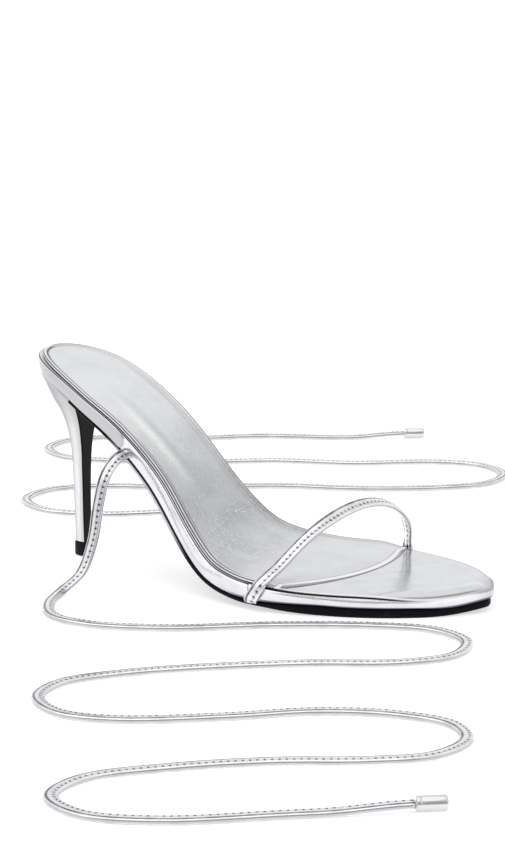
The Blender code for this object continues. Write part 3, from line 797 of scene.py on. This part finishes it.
def make_tip(finish):
    """The heel's top piece: the heel's lowest section grown a little, with eased edges."""
    row = HEEL[0]
    grow = column(TIP, "grow")[:, None]
    back, front = row.back - grow, row.front + grow * TIP_FRONT
    x, y, _ = heel_section(back, front, row.width / 2 + grow, TIP_CORNER, TIP_ROUND)
    z = column(TIP, "height")[:, None] + 0 * x
    return loft("top_piece", finish, np.stack([x, y, z], -1), sharp=0.9)


def strap_section(width, thick, points=41):
    """A strip with rolled edges: side steps and face steps round it, and the share across.

    Its faces stand at half the thickness times the root of one less the sixth power of the share
    across, less a stitched groove and a fainter line beside the rolled edge.
    """
    share = np.sin(np.linspace(math.pi / 2, -math.pi / 2, points))
    rise = thick / 2 * np.sqrt(np.clip(1 - share**6, 0.0, 1.0))
    face = rise - bell_of(GROOVE, share) - bell_of(PIPE, share)
    side = share * width / 2
    inner = slice(-2, 0, -1)
    return (
        np.hstack([side, side[inner]]),
        np.hstack([face, -face[inner]]),
        np.hstack([share, share[inner]]),
    )


def frames(path, sideways):
    """Width direction and face direction at each point of a path: the sideways direction less its
    part along the path, and what is square to both."""
    tangent = unit(np.gradient(path, axis=0))
    wide = unit(sideways - (sideways * tangent).sum(1, keepdims=True) * tangent)
    return wide, np.cross(tangent, wide)


def make_strap(name, finish, path, sideways, width, thick):
    """The strip's section carried along its path, with both ends closed."""
    wide, face = (direction[:, None] for direction in frames(path, sideways))
    side, rise, share = strap_section(width, thick)
    points = path[:, None] + side[None, :, None] * wide + rise[None, :, None] * face
    run = run_of(path)[:, None] + 0 * share[None]
    return loft(name, finish, points, np.stack([run, share[None] + 0 * run, 0 * run], -1))


def make_stitches(name, finish, path, sideways, width, thick, margin, up):
    """A row of thread stitches in the strip's groove, as capsules joined in one mesh.

    Stitch k lies from k pitches on along the path; its rings follow the path, and each ring's size
    falls to its ends as the root of one less the square of the place along it.
    """
    run = run_of(path)
    first = np.arange(STITCH_START, run[-1] - margin, STITCH_PITCH)
    lengthwise = np.linspace(-1.0, 1.0, STITCH_RINGS)
    at = first[:, None] + STITCH_PITCH / 2 + lengthwise[None] * STITCH_HALF

    def there(values):
        found = [np.interp(at.reshape(-1), run, values[:, i]) for i in range(3)]
        return np.stack(found, 1).reshape(*at.shape, 1, 3)

    wide, face = (unit(there(direction)) for direction in frames(path, sideways))
    face = face * up
    size = np.sqrt(np.clip(1 - lengthwise**2 * STITCH_BLUNT, 0.0, 1.0))[None, :, None, None]
    angle = np.linspace(0.0, 2 * math.pi, STITCH_SIDES, endpoint=False)[None, None, :, None]
    lift = thick / 2 - STITCH_SINK - STITCH_DIP * (1 - size)
    middle = there(path) + wide * (GROOVE.at * width / 2) + face * lift
    ring = wide * (STITCH_WIDE * size * np.cos(angle)) + face * (STITCH_HIGH * size * np.sin(angle))
    start = np.arange(len(first))[:, None, None] * (STITCH_RINGS * STITCH_SIDES)
    faces = (start + ring_faces(STITCH_RINGS, STITCH_SIDES)[None]).reshape(-1, 4).tolist()
    return weld(add_mesh(name, finish, middle + ring, faces), STITCH_WELD)


def toe_strap_path():
    """The toe strap's middle line, in even steps."""
    dense = smooth_path(np.array(TOE_STRAP))
    return along_path(dense, np.linspace(0.0, run_of(dense)[-1], STRAP_POINTS))


# Where the strap's turn and lean set in, across the shoe and up from the floor.
TURN_ACROSS = Rise(30.0, 20.0)
TURN_UP = Rise(7.0, 6.0)
UNTURN_UP = Rise(13.0, 9.0)
LEAN_ACROSS = Rise(-24.0, 30.0)
LEAN_UP = Rise(12.0, 12.0)


def strap_sideways(path):
    """Along the shoe, turned toward the outer side where the strap stands up from the inner edge,
    and leaning back over the arch so that its face looks a little forward."""
    _, across, height = path.T
    turn = STRAP_TURN - STRAP_UNTURN * rise_of(UNTURN_UP, height)
    turn = turn * rise_of(TURN_ACROSS, across) * rise_of(TURN_UP, height)
    lean = STRAP_LEAN * rise_of(LEAN_ACROSS, across) * rise_of(LEAN_UP, height)
    flat = np.cos(lean)
    return np.stack([np.cos(turn) * flat, -np.sin(turn) * flat, -np.sin(lean)], 1)


def tie_path(route):
    """The tie's middle line: its route cut to length, no lower than its lie, rising to its end."""
    dense = smooth_path(np.array(route))
    length = TIE_LENGTH - AGLET_LENGTH - GAP
    stops = np.linspace(0.0, length, int(length / TIE_SPACING))
    path = along_path(dense, stops)
    ease = smoothstep((stops - length) / TIE_END_RISE + 1.0)
    path[:, 2] = np.maximum(path[:, 2], TIE_LIE) + (AGLET_RADIUS - TIE_LIE) * ease
    return path


def tie_sideways(path):
    """Square to the heading in plan: along the footbed's slope at the root, level on the floor."""
    heading = unit(np.gradient(path[:, :2], axis=0))
    slope = profile(path[0, 0], "slope")
    fade = np.clip(1.0 - (run_of(path) - TIE_ROOT) / TIE_ROOT_FADE, 0.0, 1.0)
    return np.stack([-heading[:, 1], heading[:, 0], -heading[:, 1] * slope * fade], 1)


AGLET = table(
    "at radius",
    (0.0, 0.70), (0.0, 0.88), (0.2, 0.97), (0.5, 1.0), (1.5, 1.0), (1.65, 0.955), (1.85, 0.955),
    (2.0, 1.0), (9.3, 1.0), (9.7, 0.965), (9.93, 0.88), (10.0, 0.76), (9.9, 0.6), (9.85, 0.3),
    (9.84, 0.02),
)
AGLET_SIDES = 40


def make_aglet(name, finish, path):
    """The tie's metal sleeve, turned about the line of the tie's end from a table of radii."""
    way = path[-1] - path[-3]
    way[2] = 0.0
    way = unit(way)
    side = np.array([-way[1], way[0], 0.0])
    up = np.array([0.0, 0.0, 1.0])
    angle = np.linspace(0.0, 2 * math.pi, AGLET_SIDES, endpoint=False)[None, :, None]
    at = column(AGLET, "at")[:, None, None]
    radius = column(AGLET, "radius")[:, None, None] * AGLET_RADIUS
    middle = np.array([path[-1, 0], path[-1, 1], AGLET_RADIUS])
    points = middle + way * (GAP + at) + radius * (np.cos(angle) * side + np.sin(angle) * up)
    return loft(name, finish, points, sharp=1.0)


class Value:
    """A shader socket that takes part in sums: each operator adds one Math node to its finish."""

    def __init__(self, finish, socket):
        self.finish = finish
        self.socket = socket

    def math(self, operation, *others, clamp=False):
        settings = {"operation": operation, "use_clamp": clamp}
        return self.finish.node("ShaderNodeMath", settings, dict(enumerate((self, *others))))

    __add__ = __radd__ = partialmethod(math, "ADD")
    __sub__ = partialmethod(math, "SUBTRACT")
    __mul__ = __rmul__ = partialmethod(math, "MULTIPLY")
    __truediv__ = partialmethod(math, "DIVIDE")
    __pow__ = partialmethod(math, "POWER")
    __abs__ = partialmethod(math, "ABSOLUTE")
    clamped = partialmethod(math, "ADD", 0.0, clamp=True)
    cosine = partialmethod(math, "COSINE")
    root = partialmethod(math, "SQRT")

    def __rsub__(self, other):
        return self.finish.node("ShaderNodeMath", {"operation": "SUBTRACT"}, {0: other, 1: self})

    def below(self, low, high):
        """One below low, zero above high, and a smooth fall between them."""
        return 1.0 - self.between(low, high)

    def hump(self, centre, spread):
        """A bell of height one at the centre."""
        away = (self - centre) / spread
        return (away * away * -1.0).math("EXPONENT")

    def between(self, low, high):
        """Zero below low, one above high, and a smooth rise between them."""
        return self.finish.node(
            "ShaderNodeMapRange", {"interpolation_type": "SMOOTHSTEP"}, {0: self, 1: low, 2: high}
        )

    def within(self, start, full, fade, gone):
        """One from full to fade, and zero before start and after gone."""
        return self.between(start, full) * self.below(fade, gone)


class Nodes:
    """A tree of shader nodes, and the one way that a node is added to it."""

    def __init__(self, tree):
        self.tree = tree

    def node(self, kind, settings, values, out=0):
        made = self.tree.nodes.new(kind)
        for key, value in settings.items():
            setattr(made, key, value)
        for key, value in values.items():
            self.join(value, made.inputs[key])
        return Value(self, made.outputs[out])

    def join(self, value, socket):
        if isinstance(value, Value):
            self.tree.links.new(value.socket, socket)
        else:
            socket.default_value = value

    def parts(self, vector):
        return [self.node("ShaderNodeSeparateXYZ", {}, {0: vector}, i) for i in range(3)]

    def mix(self, share, first, second):
        """From the first colour to the second by the share."""
        ends = {0: share, 6: self.colour(first), 7: self.colour(second)}
        return self.node("ShaderNodeMix", {"data_type": "RGBA"}, ends, 2)

    @staticmethod
    def colour(value):
        return value if isinstance(value, Value) else (*value, 1.0)


class Finish(Nodes):
    """A material with one Principled shader, and the nodes that feed it."""

    def __init__(self, name, colour, metallic, roughness):
        self.material = bpy.data.materials.new(name)
        self.material.use_nodes = True
        super().__init__(self.material.node_tree)
        self.shader = self.tree.nodes["Principled BSDF"]
        self.set("Base Color", (*colour, 1.0))
        self.set("Metallic", metallic)
        self.set("Roughness", roughness)
        self.material.diffuse_color = (*colour, 1.0)

    def set(self, socket, value):
        self.join(value, self.shader.inputs[socket])

    def place(self):
        """Object coordinates, in metres."""
        return self.node("ShaderNodeTexCoord", {}, {}, "Object")

    def plan(self):
        """Place along and across the shoe's plan, in millimetres."""
        x, y, _ = self.parts(self.place())
        return x / MM + FRAME_X, y / MM + FRAME_Y

    def paint(self, **layers):
        """Lays tints over the colour made so far, each by its share."""
        for share, tint in layers.values():
            self.tone = self.mix(share, self.tone, tint)
        self.set("Base Color", self.tone)

    def surface(self):
        """The piece's own three numbers a point."""
        own = self.node("ShaderNodeAttribute", {"attribute_name": "surface"}, {}, "Vector")
        return self.parts(own)

    def noise(self, place, kind, stretch=None):
        """A noise of that kind, over the place stretched axis by axis where a stretch is given."""
        if stretch is not None:
            scaled = {0: place, 1: stretch}
            place = self.node("ShaderNodeVectorMath", {"operation": "MULTIPLY"}, scaled)
        values = {"Scale": kind.scale, "Detail": kind.detail, "Roughness": kind.rough}
        return self.node("ShaderNodeTexNoise", {}, {"Vector": place, **values})

    def bump(self, height, distance, below=None):
        """A normal bent by a height, over the normal below where one is given."""
        under = {} if below is None else {"Normal": below}
        return self.node("ShaderNodeBump", {}, {"Height": height, "Distance": distance, **under})


Noise = namedtuple("Noise", "scale detail rough")
PEBBLE = Noise(1500.0, 2.0, 0.6)
SLACK = Noise(55.0, 2.0, 0.5)
CLOUD = Noise(130.0, 3.0, 0.6)
PATCHY = Noise(260.0, 2.0, 0.6)
SOCK_PEBBLE = Noise(2300.0, 3.0, 0.75)
SOCK_CLOUD = Noise(70.0, 3.0, 0.55)
SOCK_CRINKLE = Noise(900.0, 4.0, 0.75)
SOCK_SPECK = Noise(1300.0, 1.0, 0.5)
SOLE_FINE = Noise(900.0, 3.0, 0.6)
SOLE_SCUFF = Noise(120.0, 4.0, 0.65)

SILVER = (0.723, 0.725, 0.741)
SILVER_SHADE = (0.661, 0.663, 0.679)
STRAP_SILVER = (0.875, 0.875, 0.885)
SOCK_BASE = (0.715, 0.72, 0.728)
SOCK_SILVER = (0.804, 0.808, 0.813)
SOCK_SHADE = (0.705, 0.71, 0.714)
# Painted shade for the sock's waist.
SOCK_GREY = (0.384, 0.388, 0.391)
SOCK_SPECKS = (0.42, 0.423, 0.427)
# A painted highlight and painted shade for the sock's padded ridge.
RIDGE_LIGHT = (0.90, 0.90, 0.89)
RIDGE_SHADE = (0.41, 0.415, 0.41)
SEAT_GREY = (0.473, 0.473, 0.487)
# Painted shade for the heel's upper flare and back.
HEEL_GREY = (0.50, 0.50, 0.509)
HEEL_EDGE = (0.52, 0.52, 0.53)
HEEL_WARM = (0.43, 0.393, 0.34)
# A painted highlight, then painted shade and painted dark reflections for lines in seams and gaps.
BRIGHT = (0.97, 0.97, 0.98)
LINE_DARK = (0.012, 0.012, 0.016)
LINE_GREY = (0.36, 0.36, 0.38)
LINE_FAR = (0.16, 0.16, 0.17)
# A painted dark reflection of the sole, on the wall just above it.
NAVY = (0.05, 0.05, 0.13)
SOLE_BASE = (0.005, 0.005, 0.007)
SOLE_BLACK = (0.004, 0.004, 0.006)
SOLE_WORN = (0.012, 0.012, 0.014)
# A painted highlight along the sole's edge at the waist.
SOLE_PALE = (0.80, 0.80, 0.88)
TIP_BLACK = (0.005, 0.005, 0.006)
NICKEL = (0.68, 0.675, 0.66)
THREAD = (0.66, 0.66, 0.675)
SCUFF_STRETCH = (1.0, 0.35, 1.0)

# Finishes with one fine grain: how far its gloss varies, and the depth of its bump in metres.
Grained = namedtuple("Grained", "name colour metallic rough vary grain depth specular")
GRAINED = (
    Grained("breast_black", SOLE_BLACK, 0.0, 0.34, 0.2, Noise(1300.0, 2.0, 0.6), 0.00003, 0.06),
    Grained("tip_black", TIP_BLACK, 0.0, 0.5, 0.2, Noise(2400.0, 2.0, 0.6), 0.00004, 0.1),
    Grained("aglet_nickel", NICKEL, 1.0, 0.17, 0.14, Noise(900.0, 2.0, 0.6), 0.000008, 0.5),
    Grained("stitch_thread", THREAD, 0.55, 0.42, 0.2, Noise(3000.0, 2.0, 0.5), 0.00004, 0.5),
)


def foil_leather(name, tint, shade, rough, grain, wave):
    """Silver foil on leather: pebbled grain and slack waves as bump, and a gloss that varies."""
    made = Finish(name, tint, 1.0, rough)
    place = made.place()
    pebble = made.noise(place, PEBBLE)
    cloud = made.noise(place, CLOUD)
    made.tone = tint
    made.paint(clouds=(cloud.between(0.35, 0.75), shade))
    made.gloss = (cloud - 0.5) * 0.12 + (pebble - 0.5) * 0.06 + rough
    made.set("Roughness", made.gloss)
    wavy = made.bump(made.noise(place, SLACK), wave)
    made.set("Normal", made.bump(pebble, grain, wavy))
    return made


def cover_finish():
    """The footbed's cover: the greyer seat with its tongue, painted shade in the seam, the joints,
    the slot, the creases and along edges, painted highlights on lips, wall and bead, and a painted
    dark reflection of the sole on the wall above it."""
    made = foil_leather("cover_foil", SILVER, SILVER_SHADE, rough=0.14, grain=0.00002, wave=0.0003)
    along, edge, level = made.surface()
    _, y = made.plan()
    near = y.below(-2.0, 2.0)
    far = 1.0 - near
    wall = level.below(0.94, 0.96)
    top = level.between(0.985, 0.998)
    bend = (1.0 - ((level - TONGUE_LEVEL) / TONGUE_HALF) ** 2.0).math("MAXIMUM", 0.0)
    past = along - (bend.root() * WRAP_REACH + WRAP_END)
    rear = past.below(-0.2, 0.2) * wall
    made.set("Roughness", made.gloss + rear * 0.2)
    # The painted shade of the seam's line, and of a band where the waist's wall meets the ball.
    seam = SEAM.at - along.hump(SEAM_SAG.at, SEAM_SAG.spread) * SEAM_SAG.height
    corner = level.between(0.86, 0.885) * along.between(122.0, 134.0)
    line = (level.hump(seam - 0.008, 1.7 * SEAM.spread) + corner).clamped()
    ball = along.within(134.0, 142.0, 176.0, 190.0)
    front = along.within(134.0, 140.0, 186.0, 202.0)
    toe = along.between(176.0, 186.0) * y.below(-1.0, 6.0)
    tip = along.between(190.0, 203.0) * y.between(-3.0, 7.0)
    slot = along + level * 0.9 - 126.5
    made.paint(
        seat=(rear * 0.9, SEAT_GREY),
        # A painted highlight on a strip under the seat's seam.
        seat_lip=(level.hump(0.905, 0.03) * along.below(52.0, 60.0) * 0.85, BRIGHT),
        # Painted shade along the tongue's step.
        tongue_joint=(past.hump(0.1, 0.28) * wall * 0.7, LINE_GREY),
        wall_gleam=(level.hump(0.86, 0.055) * along.between(58.0, 66.0) * 0.8, BRIGHT),
        # A painted dark reflection line low on the wall at the ball.
        wall_line=(level.hump(0.69, 0.03) * ball * 0.65, LINE_GREY),
        # Painted shade in the seam under the upper edge.
        seam=(line * edge.below(0.5, 0.75) * along.below(178.0, 198.0), LINE_DARK),
        # A painted highlight on the bead along the upper outer edge.
        bead=(edge.hump(1.6, 0.8) * top * near * front * 0.9, BRIGHT),
        # Painted shade in the toe's crease.
        toe_crease=(edge.hump(2.3, 0.7) * toe * 0.85, LINE_FAR),
        tip_shade=(edge.below(0.5, 6.5) * tip * 0.5, LINE_GREY),
        # A painted dark reflection of the sole on the foot of the wall.
        sole_fringe=(level.below(0.12, 0.22) * along.between(112.0, 124.0) * 0.85, NAVY),
        # Painted shade on the far upper edge.
        far_edge=(edge.hump(0.8, 0.6) * top * far * 0.6, LINE_GREY),
        # Painted shade in the gap over the heel.
        heel_joint=(level.below(0.05, 0.11) * along.below(30.0, 38.0) * 0.85, LINE_DARK),
        # A painted highlight round the strap's slot, and painted shade in the slot.
        slot_lip=(slot.within(0.1, 0.4, 4.2, 4.8) * near * wall * 0.8, BRIGHT),
        slot=(slot.hump(0.0, 0.22) * near * wall * 0.9, LINE_DARK),
    )
    return made


def heel_finish():
    """The heel's cover: painted shade in the joint and a painted highlight on the lip under the
    seat, painted shade on its upper flare and back, and a warm front edge.
    """
    made = foil_leather("heel_foil", SILVER, SILVER_SHADE, rough=0.2, grain=0.000015, wave=0.0002)
    down, turn, height = made.surface()
    made.paint(
        # Painted shade on the upper flare and down the back.
        flare=(height.between(36.0, 66.0) * 0.3, HEEL_GREY),
        back=(turn.hump(-0.25, 0.25) * 0.75, HEEL_GREY),
        front_edge=(abs(turn).between(0.80, 0.97) * 0.5, HEEL_WARM),
        # A painted highlight on the lip under the seat, and painted shade in the joint.
        lip=(down.hump(0.9, 0.4) * 0.8, BRIGHT),
        joint=(down.below(0.15, 0.4) * 0.9, LINE_DARK),
    )
    made.set("Specular Tint", (*HEEL_EDGE, 1.0))
    return made


def strap_finish():
    """Strap leather: painted shade in the stitched groove and its holes between the stitches,
    in a line beside the rolled edge, and on the rolled edges.
    """
    made = foil_leather("strap_foil", STRAP_SILVER, SILVER, rough=0.2, grain=0.00003, wave=0.0002)
    run, share, _ = made.surface()
    patchy = made.noise(made.place(), PATCHY)
    dash = (run * (2 * math.pi / STITCH_PITCH)).cosine().between(0.0, 0.8)
    # A patchy strength for the painted shade line beside the rolled edge.
    worn = patchy.between(0.35, 0.6) * 0.25 + 0.75
    made.paint(
        # Painted shade in the stitched groove and its holes, beside and on the rolled edges.
        groove=(share.hump(GROOVE.at, 0.22) * 0.3, LINE_GREY),
        holes=(share.hump(GROOVE.at, 0.24) * dash * patchy.between(0.2, 0.45), LINE_DARK),
        pipe=(share.hump(PIPE.at, 0.17) * worn, LINE_DARK),
        cut_edge=(abs(share).between(0.93, 0.99) * 0.7, LINE_GREY),
    )
    return made


def sock_finish():
    """The sock's soft foil: crinkled over the waist, with painted glints on its crinkles, painted
    shade over the waist, beside its ridge and bead, at its foot and on its far edge, and painted
    highlights on its ridge, wall and bead and at the skived front."""
    made = Finish("sock_foil", SOCK_BASE, 0.92, 0.34)
    made.tone = SOCK_SILVER
    place = made.place()
    ahead, edge, level = made.surface()
    x, y = made.plan()
    near = y.below(-3.0, 3.0)
    far = 1.0 - near
    pebble = made.noise(place, SOCK_PEBBLE)
    cloud = made.noise(place, SOCK_CLOUD)
    crinkle = made.noise(place, SOCK_CRINKLE)
    speck = made.noise(place, SOCK_SPECK)
    waist = x.hump(90.0, 26.0)
    worked = x.hump(100.0, 19.0) * cloud.between(0.38, 0.6)
    ridge = y + x * 0.06 + 7.4
    # Masks for painted shade: a band along the far edge, and a line inside the near bead.
    band = edge.hump(EDGE_BAND.at, 1.2) * x.within(20.0, 40.0, 104.0, 126.0)
    bead_line = edge.hump(3.6, 0.2) * x.within(58.0, 66.0, 92.0, 104.0)
    made.paint(
        clouds=(cloud.between(0.35, 0.7) * 0.6, SOCK_SHADE),
        # Painted shade over the waist.
        waist=(waist * (cloud * 0.6 + 0.4), SOCK_GREY),
        # A painted highlight on the padded ridge, and painted shade beside it.
        ridge=(ridge.hump(0.0, 2.6) * x.hump(60.0, 16.0) * 0.85, RIDGE_LIGHT),
        ridge_side=(ridge.hump(5.4, 2.4) * x.hump(66.0, 18.0) * 0.4, RIDGE_SHADE),
        specks=(speck.below(0.36, 0.5) * (waist * 0.45 + 0.1), SOCK_SPECKS),
        # Painted glints on the crinkles.
        crinkles=(crinkle.between(0.54, 0.66) * worked * 0.8, BRIGHT),
        # Painted shade in the far band, beside the far bead and on the far edge.
        far_band=(band * far * 0.35, LINE_GREY),
        far_bead=(edge.hump(2.2, 0.3) * far * 0.5, LINE_GREY),
        far_edge=(edge.hump(0.9, 0.7) * level.between(0.7, 0.9) * far * 0.8, LINE_FAR),
        wall_gleam=(level.hump(0.45, 0.3) * edge.below(0.6, 0.9) * near * 0.8, BRIGHT),
        bead_gleam=(edge.hump(1.25, 0.4) * near * 0.8, BRIGHT),
        # Painted shade: the bead's outer side, its inner valley, a line past it, and the sock's
        # foot.
        wall_line=(level.hump(0.95, 0.2) * edge.hump(0.5, 0.3) * near * 0.95, LINE_DARK),
        bead=(edge.hump(2.2, 0.5) * near * 0.95, LINE_DARK),
        bead_line=(bead_line * near * 0.6, LINE_DARK),
        foot=(level.below(0.12, 0.25) * 0.8, LINE_DARK),
        # A painted highlight on the skived front, and painted shade lines behind it and at its
        # edge.
        front=(ahead.below(1.6, 2.0), BRIGHT),
        front_line=(ahead.hump(2.2, 0.35) * 0.5, LINE_GREY),
        front_edge=(ahead.below(0.03, 0.1) * 0.7, LINE_GREY),
    )
    made.set("Metallic", 0.94 - ahead.below(0.5, 0.9) * 0.8)
    gloss = (cloud - 0.5) * 0.16 + (pebble - 0.5) * 0.14 - worked * 0.06 + 0.33
    made.set("Roughness", gloss)
    creased = made.bump(crinkle * worked, 0.00045, made.bump(cloud, 0.0005))
    made.set("Normal", made.bump(pebble, 0.00008, creased))
    return made


def sole_finish():
    """The black sole: scuffed below, with a thin painted highlight along its edge at the waist."""
    made = Finish("sole_black", SOLE_BASE, 0.0, 0.34)
    along, edge, level = made.surface()
    place = made.place()
    scuff = made.noise(place, SOLE_SCUFF, SCUFF_STRETCH)
    # The mask of a painted highlight along the sole's edge at the waist.
    pale = level.hump(0.56, 0.22) * along.within(50.0, 60.0, 84.0, 98.0) * edge.between(0.5, 0.8)
    made.tone = SOLE_BLACK
    made.paint(scuffs=(scuff.between(0.5, 0.8), SOLE_WORN), edge_line=(pale, SOLE_PALE))
    made.set("Roughness", (scuff - 0.5) * 0.25 + 0.36)
    made.set("Normal", made.bump(made.noise(place, SOLE_FINE), 0.00003))
    made.set("Specular IOR Level", 0.06)
    return made


def grained_finish(row):
    """A plain finish with one fine noise in its gloss and its bump."""
    made = Finish(row.name, row.colour, row.metallic, row.rough)
    grain = made.noise(made.place(), row.grain)
    made.set("Roughness", (grain - 0.5) * row.vary + row.rough)
    made.set("Normal", made.bump(grain, row.depth))
    made.set("Specular IOR Level", row.specular)
    return made


def make_finishes():
    """Every finish of the shoe by name."""
    made = [cover_finish(), heel_finish(), strap_finish(), sock_finish(), sole_finish()]
    made += [grained_finish(row) for row in GRAINED]
    return {finish.material.name: finish.material for finish in made}


def seat(piece, slot, *nodes):
    """Lets a piece ride on the shoe, and hides the solids it stands for. The slot is not used."""
    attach(piece, "root")
    if nodes:
        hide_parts(*nodes)


# How far before a strap's end its stitches stop.
TOE_STITCH_MARGIN = 9.0
TIE_STITCH_MARGIN = 4.0


def dress(finishes):
    for make, finish, slot, node in (
        (make_board, "cover_foil", "silver_cover", "insole_board"),
        (make_sock, "sock_foil", "silver_sock", "sock"),
        (make_outsole, "sole_black", "black_sole", "outsole"),
        (make_heel, "heel_foil", "silver_heel", "heel"),
        (make_breast, "breast_black", "black_breast", "heel_breast"),
        (make_tip, "tip_black", "black_tip", "heel_tip"),
    ):
        seat(make(finishes[finish]), slot, node)

    leather, thread = finishes["strap_foil"], finishes["stitch_thread"]
    path = toe_strap_path()
    course = (path, strap_sideways(path), STRAP_WIDTH, STRAP_THICK)
    seat(make_strap("toe_strap_leather", leather, *course), "silver_strap", "toe_strap")
    row = make_stitches("toe_strap_stitches", thread, *course, TOE_STITCH_MARGIN, -1.0)
    seat(row, "silver_strap")

    for side, route, exit_at in (
        ("outer", TIE_OUTER, TIE_OUTER_EXIT),
        ("inner", TIE_INNER, TIE_INNER_EXIT),
    ):
        path = tie_path(route)
        course = (path, tie_sideways(path), TIE_WIDTH, TIE_THICK)
        tie = make_strap("tie_" + side + "_leather", leather, *course)
        seat(tie, "silver_strap", "tie_" + side)
        aglet = make_aglet("aglet_" + side + "_metal", finishes["aglet_nickel"], path)
        seat(aglet, "nickel", "aglet_" + side)
        row = make_stitches("tie_" + side + "_stitches", thread, *course, TIE_STITCH_MARGIN, 1.0)
        seat(row, "silver_strap")
        in_frame(path)[::2].tolist()


SKY_BACK = (0.963, 0.969, 0.98)
SKY_FRONT = (0.49, 0.496, 0.515)
SKY_TOP = (0.963, 0.963, 0.963)
SKY_FRONT_EDGE = (0.45, 0.80)
SKY_TOP_EDGE = (0.62, 0.92)
SUN_ENERGY = 0.47
SUN_SPREAD = 75.0
SUN_TILT = (14.0, -10.0, 0.0)
FLOOR_PALE = (0.66, 0.66, 0.665)
FLOOR_ROUGH = 0.7
FLOOR_GLOW = 0.616
FLOOR_REACH = 6.0


def set_light():
    """Studio light: pale behind the shoe, dark on the camera's side, bright overhead, and a soft
    sun."""
    world = bpy.data.worlds.new("studio")
    bpy.context.scene.world = world
    world.use_nodes = True
    sky = Nodes(world.node_tree)
    x, y, z = sky.parts(sky.node("ShaderNodeTexCoord", {}, {}, "Generated"))
    azimuth = math.radians(CAMERA_AZIMUTH)
    facing = x * math.sin(azimuth) - y * math.cos(azimuth)
    round_about = sky.mix(facing.between(*SKY_FRONT_EDGE), SKY_BACK, SKY_FRONT)
    glow = world.node_tree.nodes["Background"]
    sky.join(sky.mix(z.between(*SKY_TOP_EDGE), round_about, SKY_TOP), glow.inputs["Color"])
    lamp = bpy.data.lights.new("soft_sun", "SUN")
    lamp.energy = SUN_ENERGY
    lamp.angle = math.radians(SUN_SPREAD)
    add_object("soft_sun", lamp).rotation_euler = [math.radians(tilt) for tilt in SUN_TILT]


def set_stage():
    """A plain white floor, soft studio light from all round, and the camera."""
    scene = bpy.context.scene
    scene.view_settings.view_transform = "Standard"

    finish = Finish("studio_floor", FLOOR_PALE, 0.0, FLOOR_ROUGH)
    finish.set("Emission Color", (1.0, 1.0, 1.0, 1.0))
    finish.set("Emission Strength", FLOOR_GLOW)
    finish.set("Specular IOR Level", 0.0)
    mesh = bpy.data.meshes.new("studio_floor")
    corners = np.array([(-1, -1, 0), (1, -1, 0), (1, 1, 0), (-1, 1, 0)]) * FLOOR_REACH
    mesh.from_pydata(corners, [], [(0, 1, 2, 3)])
    mesh.materials.append(finish.material)
    floor = add_object("studio_floor", mesh)

    set_light()

    azimuth = math.radians(CAMERA_AZIMUTH)
    elevation = math.radians(CAMERA_ELEVATION)
    lens = bpy.data.cameras.new("camera")
    lens.lens = CAMERA_LENS
    lens.sensor_width = CAMERA_SENSOR
    lens.clip_start = CAMERA_NEAR
    camera = add_object("camera", lens)
    level = math.cos(elevation)
    back = (math.sin(azimuth) * level, -math.cos(azimuth) * level, math.sin(elevation))
    camera.location = np.array(CAMERA_AIM) + np.array(back) * CAMERA_DISTANCE
    camera.rotation_euler = (math.pi / 2 - elevation, 0.0, azimuth)
    scene.camera = camera


set_stage()
dress(make_finishes())
